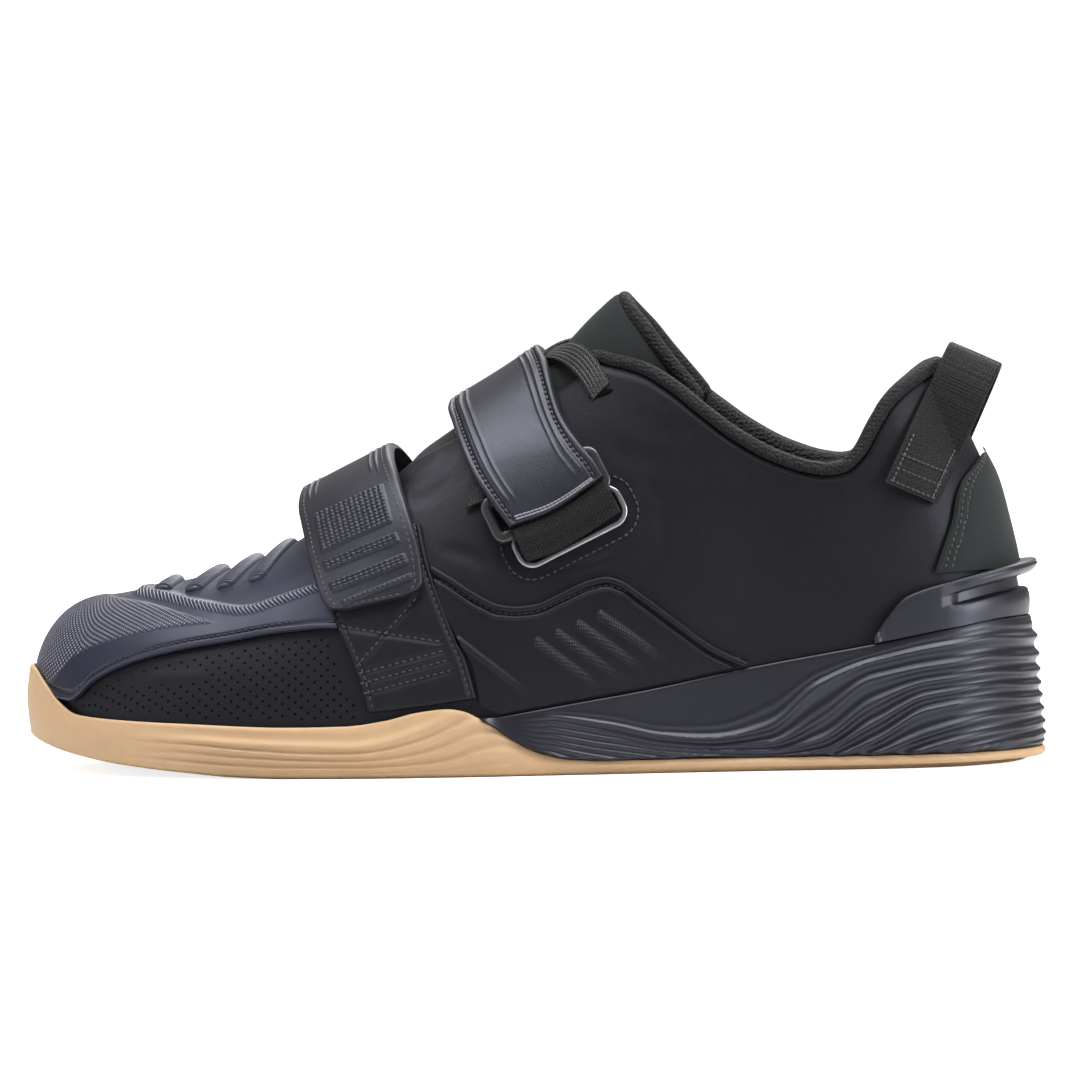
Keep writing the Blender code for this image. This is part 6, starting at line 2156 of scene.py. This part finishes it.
def make_patch():
    """The nubuck heel patch, folded under along its edges."""
    rows, columns = 90, 121
    edge = table_curve(PATCH_COLUMNS, PATCH_EDGE, "edge")
    heights = np.linspace(PATCH_EDGE[0][0] - 0.030, PATCH_TOP, rows) * HEEL_TOP
    grids = [[], [], []]
    for height in heights:
        share = height / HEEL_TOP
        front = place(float(edge(max(share, PATCH_EDGE[0][0]))) - 0.12 * max(0.0, PATCH_EDGE[0][0] - share))
        turns, sides = heel_arc(front, float(up_at(front, height)), (columns + 1) // 2)
        ups = np.full(len(turns), float(up_at(front, height)))
        for _ in range(4):
            ups = up_at(bare_skin(turns, ups, sides)[..., 0], height)
        for grid, value in zip(grids, (turns, ups, sides)):
            grid.append(value)
    turns, ups, sides = (np.stack(grid) for grid in grids)
    places = skin(turns, ups, sides)
    from_side = np.minimum(
        np.linalg.norm(places - places[:, :1], axis=-1), np.linalg.norm(places - places[:, -1:], axis=-1)
    )
    from_top = np.linalg.norm(places - places[-1:], axis=-1)
    inside_edge = np.minimum(from_side, from_top)
    off = OVERLAY + 0.0004 * step(inside_edge, 0.003, 0.010) - soft(
        np.abs(inside_edge - PATCH_ROWS[0]), SEAM_HALF, 0.0004
    )
    off -= soft(np.abs(inside_edge - PATCH_ROWS[1]), 0.0009, 0.0003) * (from_side < from_top)
    off -= rounding(inside_edge, 0.0008)
    outer = skin(turns, ups, sides, PATCH_GAP + off)
    inner = skin(turns, ups, sides, PATCH_GAP)
    piece = shell(
        "patch", outer, inner, quads(rows, columns), [LOOK["nubuck"]], measured(outer), backed=False,
    )
    replace(piece, "nubuck", "heel_patch")
    for reach in PATCH_ROWS:
        for half in (slice(0, columns // 2), slice(columns // 2, None)):
            gaps = np.abs(from_side[:, half] - reach)
            at = np.argmin(gaps, axis=1)[2:-4]
            line = np.arange(rows)[2:-4]
            picked = [part[:, half][line, at] for part in (turns, ups, sides)]
            low = skin(*picked, PATCH_GAP + OVERLAY - 0.0002)
            SEWN.append(row_of(low, skin(*picked, PATCH_GAP + OVERLAY + 0.0008) - low, 0.0020))


def tube_faces(count, sides):
    """Faces of a tube of rings, closed at both ends."""
    k, j = np.meshgrid(np.arange(count - 1), np.arange(sides), indexing="ij")
    ahead = (j + 1) % sides
    corners = [k * sides + j, k * sides + ahead, (k + 1) * sides + ahead, (k + 1) * sides + j]
    faces = np.stack(corners, axis=-1).reshape(-1, 4).tolist()
    return faces + [list(range(sides)), list(range((count - 1) * sides, count * sides))]


def make_collar_pad():
    """The padded knit roll round the ankle, fuller between the folds of its cover."""
    paths = []
    for side in (LATERAL, MEDIAL):
        turns = upper_turns(640)
        tops = top_share(turns, side)
        x = bare_skin(turns, tops, side)[..., 0]
        keep = along(x) > ROLL_START
        paths.append((turns[keep], tops[keep], np.full(keep.sum(), side)))
    turns, ups, sides = (np.concatenate([paths[0][k], paths[1][k][::-1][1:]]) for k in range(3))
    edge = skin(turns, ups, sides)
    normal = skin(turns, ups, sides, 0.001) - edge
    normal /= np.linalg.norm(normal, axis=-1, keepdims=True)
    below = bare_skin(turns, ups - 0.01, sides)
    run = np.gradient(edge, axis=0)
    run /= np.linalg.norm(run, axis=-1, keepdims=True)
    upward = edge - below
    upward -= run * (upward * run).sum(-1, keepdims=True)
    upward -= normal * (upward * normal).sum(-1, keepdims=True)
    upward /= np.linalg.norm(upward, axis=-1, keepdims=True)
    corners = np.concatenate([np.array(ROLL_SECTION), np.array(ROLL_SECTION[:1])]) * ROLL
    reach = reach_of(corners)
    at = np.linspace(0, reach[-1], 73)[:-1]
    shape = np.stack([smooth(reach, corners[:, 0])(at), smooth(reach, corners[:, 1])(at)], axis=1)
    reach_along = reach_of(edge)
    from_end = np.minimum(reach_along, reach_along[-1] - reach_along)
    full = np.clip(from_end / 0.028 + 0.12, 0, 1)
    base = -UPPER_WALL - 2 * CLEAR
    per_metre = 0.01 / np.linalg.norm(edge - below, axis=-1)
    rings = []
    for k in range(len(turns)):
        local = shape.copy()
        inward = local[:, 0] < base
        local[inward, 0] = base + (local[inward, 0] - base) * full[k]
        lower = local[:, 1] < 0
        local[lower, 1] *= 0.35 + 0.65 * full[k]
        points = edge[k] + normal[k] * local[:, :1] + upward[k] * local[:, 1:]
        depth = ups[k] + local[:, 1] * per_metre[k]
        hanging = skin(np.full(len(local), turns[k]), depth, sides[k], local[:, 0])
        rings.append(np.where(lower[:, None], hanging, points))
    faces = tube_faces(len(rings), len(shape))
    uv = np.stack(np.meshgrid(reach_along, at, indexing="ij"), axis=-1).reshape(-1, 2)
    piece = form("collar_pad", np.concatenate(rings), faces, [LOOK["knit"]], uv)
    replace(piece, "knit", "collar_roll")


def tongue_surface(places, sweep, out):
    """Points of the tongue. places: rows of TONGUE, sweep: -1 lateral to 1 medial, out: above its face."""
    read = [
        smooth(range(len(TONGUE)), column(TONGUE_COLUMNS, TONGUE, name))(places) for name in TONGUE_COLUMNS
    ]
    middle, edge, down, sink, crest = read
    wide = np.abs(sweep)
    x = place(middle + (edge - middle) * wide**2)
    up = 1 - down * wide
    side = np.where(sweep < 0, LATERAL, MEDIAL) * np.ones(np.shape(x))
    depth = sink * wide**1.5 + crest * (1 - wide**1.5) - out
    return inside(x, up, side, depth)


def make_tongue_pad():
    """The padded nubuck tongue, crowned between its edges, and the knit that binds them."""
    rows, across = 230, 81
    places = np.linspace(0, len(TONGUE) - 1, rows)[:, None] * np.ones((1, across))
    sweep = np.linspace(-1, 1, across)[None, :] * np.ones((rows, 1))
    inside_edge = np.minimum(1 - np.abs(sweep), (len(TONGUE) - 1 - places) * 0.5)
    crowned = 0.0011 * np.sqrt(np.clip(inside_edge / 0.25, 0, 1)) - 0.0011
    outer = tongue_surface(places, sweep, crowned)
    inner = tongue_surface(places, sweep, -TONGUE_THICKNESS - crowned * 0.8)
    looks = [LOOK["nubuck"], LOOK["lining"]]
    piece = shell(
        "tongue_pad", outer, inner, quads(rows, across), looks, measured(outer)
    )
    replace(piece, "nubuck", "tongue")
    last = len(TONGUE) - 1
    up_side = np.linspace(BINDING_START, last, 110)
    path = np.concatenate([
        np.stack([up_side, np.full(110, -1.0)], axis=1),
        np.stack([np.full(90, float(last)), np.linspace(-1, 1, 91)[1:]], axis=1),
        np.stack([up_side[::-1][1:], np.full(109, 1.0)], axis=1),
    ])
    top = tongue_surface(path[:, 0], path[:, 1], -0.0003)
    foot = tongue_surface(path[:, 0], path[:, 1], -TONGUE_THICKNESS + 0.0003)
    tube = tube_along((top + foot) / 2, foot - top, 0.0024, 0.0029)
    binding = form("tongue_binding", *tube, [LOOK["knit"]])
    replace(binding, "knit")


def tube_along(middle, across, half_width, half_height, sides=20):
    """An oval tube along a line, its long axis along across, closed at both ends."""
    for _ in range(4):
        middle[1:-1] = (middle[:-2] + 2 * middle[1:-1] + middle[2:]) / 4
    run = np.gradient(middle, axis=0)
    run /= np.linalg.norm(run, axis=1, keepdims=True)
    tall = across - run * (across * run).sum(1, keepdims=True)
    tall /= np.linalg.norm(tall, axis=1, keepdims=True)
    wide = np.cross(run, tall)
    angle = np.arange(sides) * 2 * math.pi / sides
    ends = np.minimum(np.arange(len(middle)), np.arange(len(middle))[::-1])
    swell = np.sqrt(np.clip((ends + 0.2) / 6.0, 0, 1))[:, None, None]
    ring_points = wide[:, None] * np.cos(angle)[None, :, None] * half_width
    ring_points = ring_points + tall[:, None] * np.sin(angle)[None, :, None] * half_height
    points = (middle[:, None] + ring_points * swell).reshape(-1, 3)
    return points, tube_faces(len(middle), sides)


def make_pull_tape():
    """The ribbed tape over the heel's top, with a sewn block at its lateral end."""
    arch = smooth(column(PULL_COLUMNS, PULL_ARCH, "rise"), column(PULL_COLUMNS, PULL_ARCH, "spread"))
    half = 1 - (1 - np.linspace(0, 1, 130)) ** 1.8
    rises = np.concatenate([half, half[::-1][1:]])
    sides = np.concatenate([np.full(130, LATERAL), np.full(129, MEDIAL)])
    tilt = math.radians(PULL_TILT)
    width = np.linspace(-0.5, 0.5, 41) * LOOP_WIDTH
    foot = np.array([place(PULL_FOOT[0]), PULL_FOOT[1] * HEEL_TOP])
    grids = []
    for thick in (0.0, LOOP_THICKNESS):
        rise = rises * (LOOP_RISE - (0.0 if thick else LOOP_THICKNESS))
        x = foot[0] + rise[:, None] * math.sin(tilt) + width[None, :] * math.cos(tilt)
        z = foot[1] + rise[:, None] * math.cos(tilt) - width[None, :] * math.sin(tilt)
        spread = np.maximum(arch(rises)[:, None] * BALL_WIDTH - (0.0 if thick else LOOP_THICKNESS), 0.0)
        wall = skin_half_width(x, z) + (CLEAR + LOOP_THICKNESS if thick else CLEAR)
        leg = np.clip((COLLAR_HEIGHT(along(x)) * HEEL_TOP + 2 * ROLL - z) / ROLL, 0, 1)
        y = np.maximum(spread, wall * leg)
        grids.append(np.stack([x, y * sides[:, None], z], axis=-1))
    reach = reach_of(grids[1][:, 20])
    ribs = (0.5 + 0.5 * np.cos(reach * 2 * math.pi / TAPE_RIB))[:, None]
    from_edge = np.minimum(width - width[0], width[-1] - width)[None, :]
    full = np.sqrt(1 - np.clip(1 - from_edge / 0.0006, 0, 1) ** 2)
    thin = (1 - full) * 0.0006 + (1 - ribs) * 0.00022 * full
    outward = grids[1] - grids[0]
    outward /= np.linalg.norm(outward, axis=-1, keepdims=True)
    outer = grids[1] - outward * thin[..., None]
    piece = shell(
        "pull_tape", outer, grids[0] + outward * 0.0001, quads(259, 41),
        [LOOK["tape"]], measured(grids[1]),
    )
    replace(piece, "webbing", "pull_loop")
    for end in (2, 9, 16):
        low = outer[end, 3:-3]
        SEWN.append(row_of(low, outward[end, 3:-3], 0.0016))
    for column_at in (5, 35):
        SEWN.append(row_of(outer[2:30, column_at], outward[2:30, column_at], 0.0016))


def bar_middle(read, swing):
    """x of a bar's middle line, at places from -1 at its lateral end to 1 at its medial end."""
    return place(read["ridge"] + (read["end"] - read["ridge"]) * np.abs(swing) ** BAR_BEND)


def even_sweep(read, steps):
    """Places along a bar, from -1 to 1, an even distance apart on the skin."""
    swing = np.linspace(-1, 1, 401)
    middle = bar_middle(read, swing)
    line = on_skin(middle, 1 - read["down"] * np.abs(swing), np.where(swing < 0, LATERAL, MEDIAL))
    reach = reach_of(line)
    return np.interp(np.linspace(0, reach[-1], steps), reach, swing)


def make_bars():
    """The toe's curved bars, cross-ribbed, rounded and tapering into the film at their ends."""
    for number, row in enumerate(TOE_BARS, 1):
        read = dict(zip(BAR_COLUMNS, row))
        steps = 700
        swing = even_sweep(read, steps)
        middle = bar_middle(read, swing)
        across = np.linspace(-0.5, 0.5, 17)
        taper = np.sqrt(np.clip((1 - np.abs(swing)) / 0.06, 0, 1)) * 0.7 + 0.3
        x = middle[:, None] + across[None, :] * BAR_WIDTH * taper[:, None]
        up = np.repeat((1 - read["down"] * np.abs(swing))[:, None], 17, axis=1)
        side = np.where(swing < 0, LATERAL, MEDIAL)[:, None] * np.ones((1, 17))
        line = on_skin(middle, up[:, 0], side[:, 0])
        reach = reach_of(line)
        teeth = (0.5 + 0.5 * np.cos(reach * 2 * math.pi / BAR_TOOTH)) ** 0.8
        profile = np.sqrt(np.clip(1 - (2 * across) ** 2, 0, 1))
        high = (BAR_HEIGHT + BAR_TEETH * teeth)[:, None] * profile[None, :] * taper[:, None]
        outer = on_skin(x, up, side, FILM_LIFT + high)
        inner = on_skin(x, up, side, FILM_LIFT - 0.0002)
        # The bars take the paler film tone, a painted highlight
        piece = shell(
            f"toe_bar_{number}", outer, inner, quads(steps, 17), [LOOK["film bar"]], measured(outer),
            backed=False,
        )
        replace(piece, "toe_film", f"toe_rib_{number}")


make_camera()
make_lights()
make_floor()
make_gum_sole()
make_heel_block()
make_footbed()
make_shell()
make_toe_skin()
make_straps()
make_hardware()
make_lace()
make_side_panels()
make_perforations()
make_clip()
make_patch()
make_collar_pad()
make_tongue_pad()
make_pull_tape()
make_bars()
# The perforations are dark discs of painted shade
piece = placed_things("perforation_shade", PUNCHING, PUNCHED, HOLE_SIZE, LOOK["hole shade"])
replace(piece, "black_leather")
piece = placed_things("stitches", STITCHING, SEWN, THREAD_SIZE, LOOK["thread"])
replace(piece, "webbing")
piece = placed_things("pale_stitches", STITCHING, PALE_SEWN, THREAD_SIZE, LOOK["pale thread"])
replace(piece, "webbing")
# The lace slots are dark discs of painted shade
piece = placed_things("lace_slot_shade", PUNCHING, lace_slot_shade(), SLOT_SIZE, LOOK["hole shade"])
replace(piece, "black_leather")
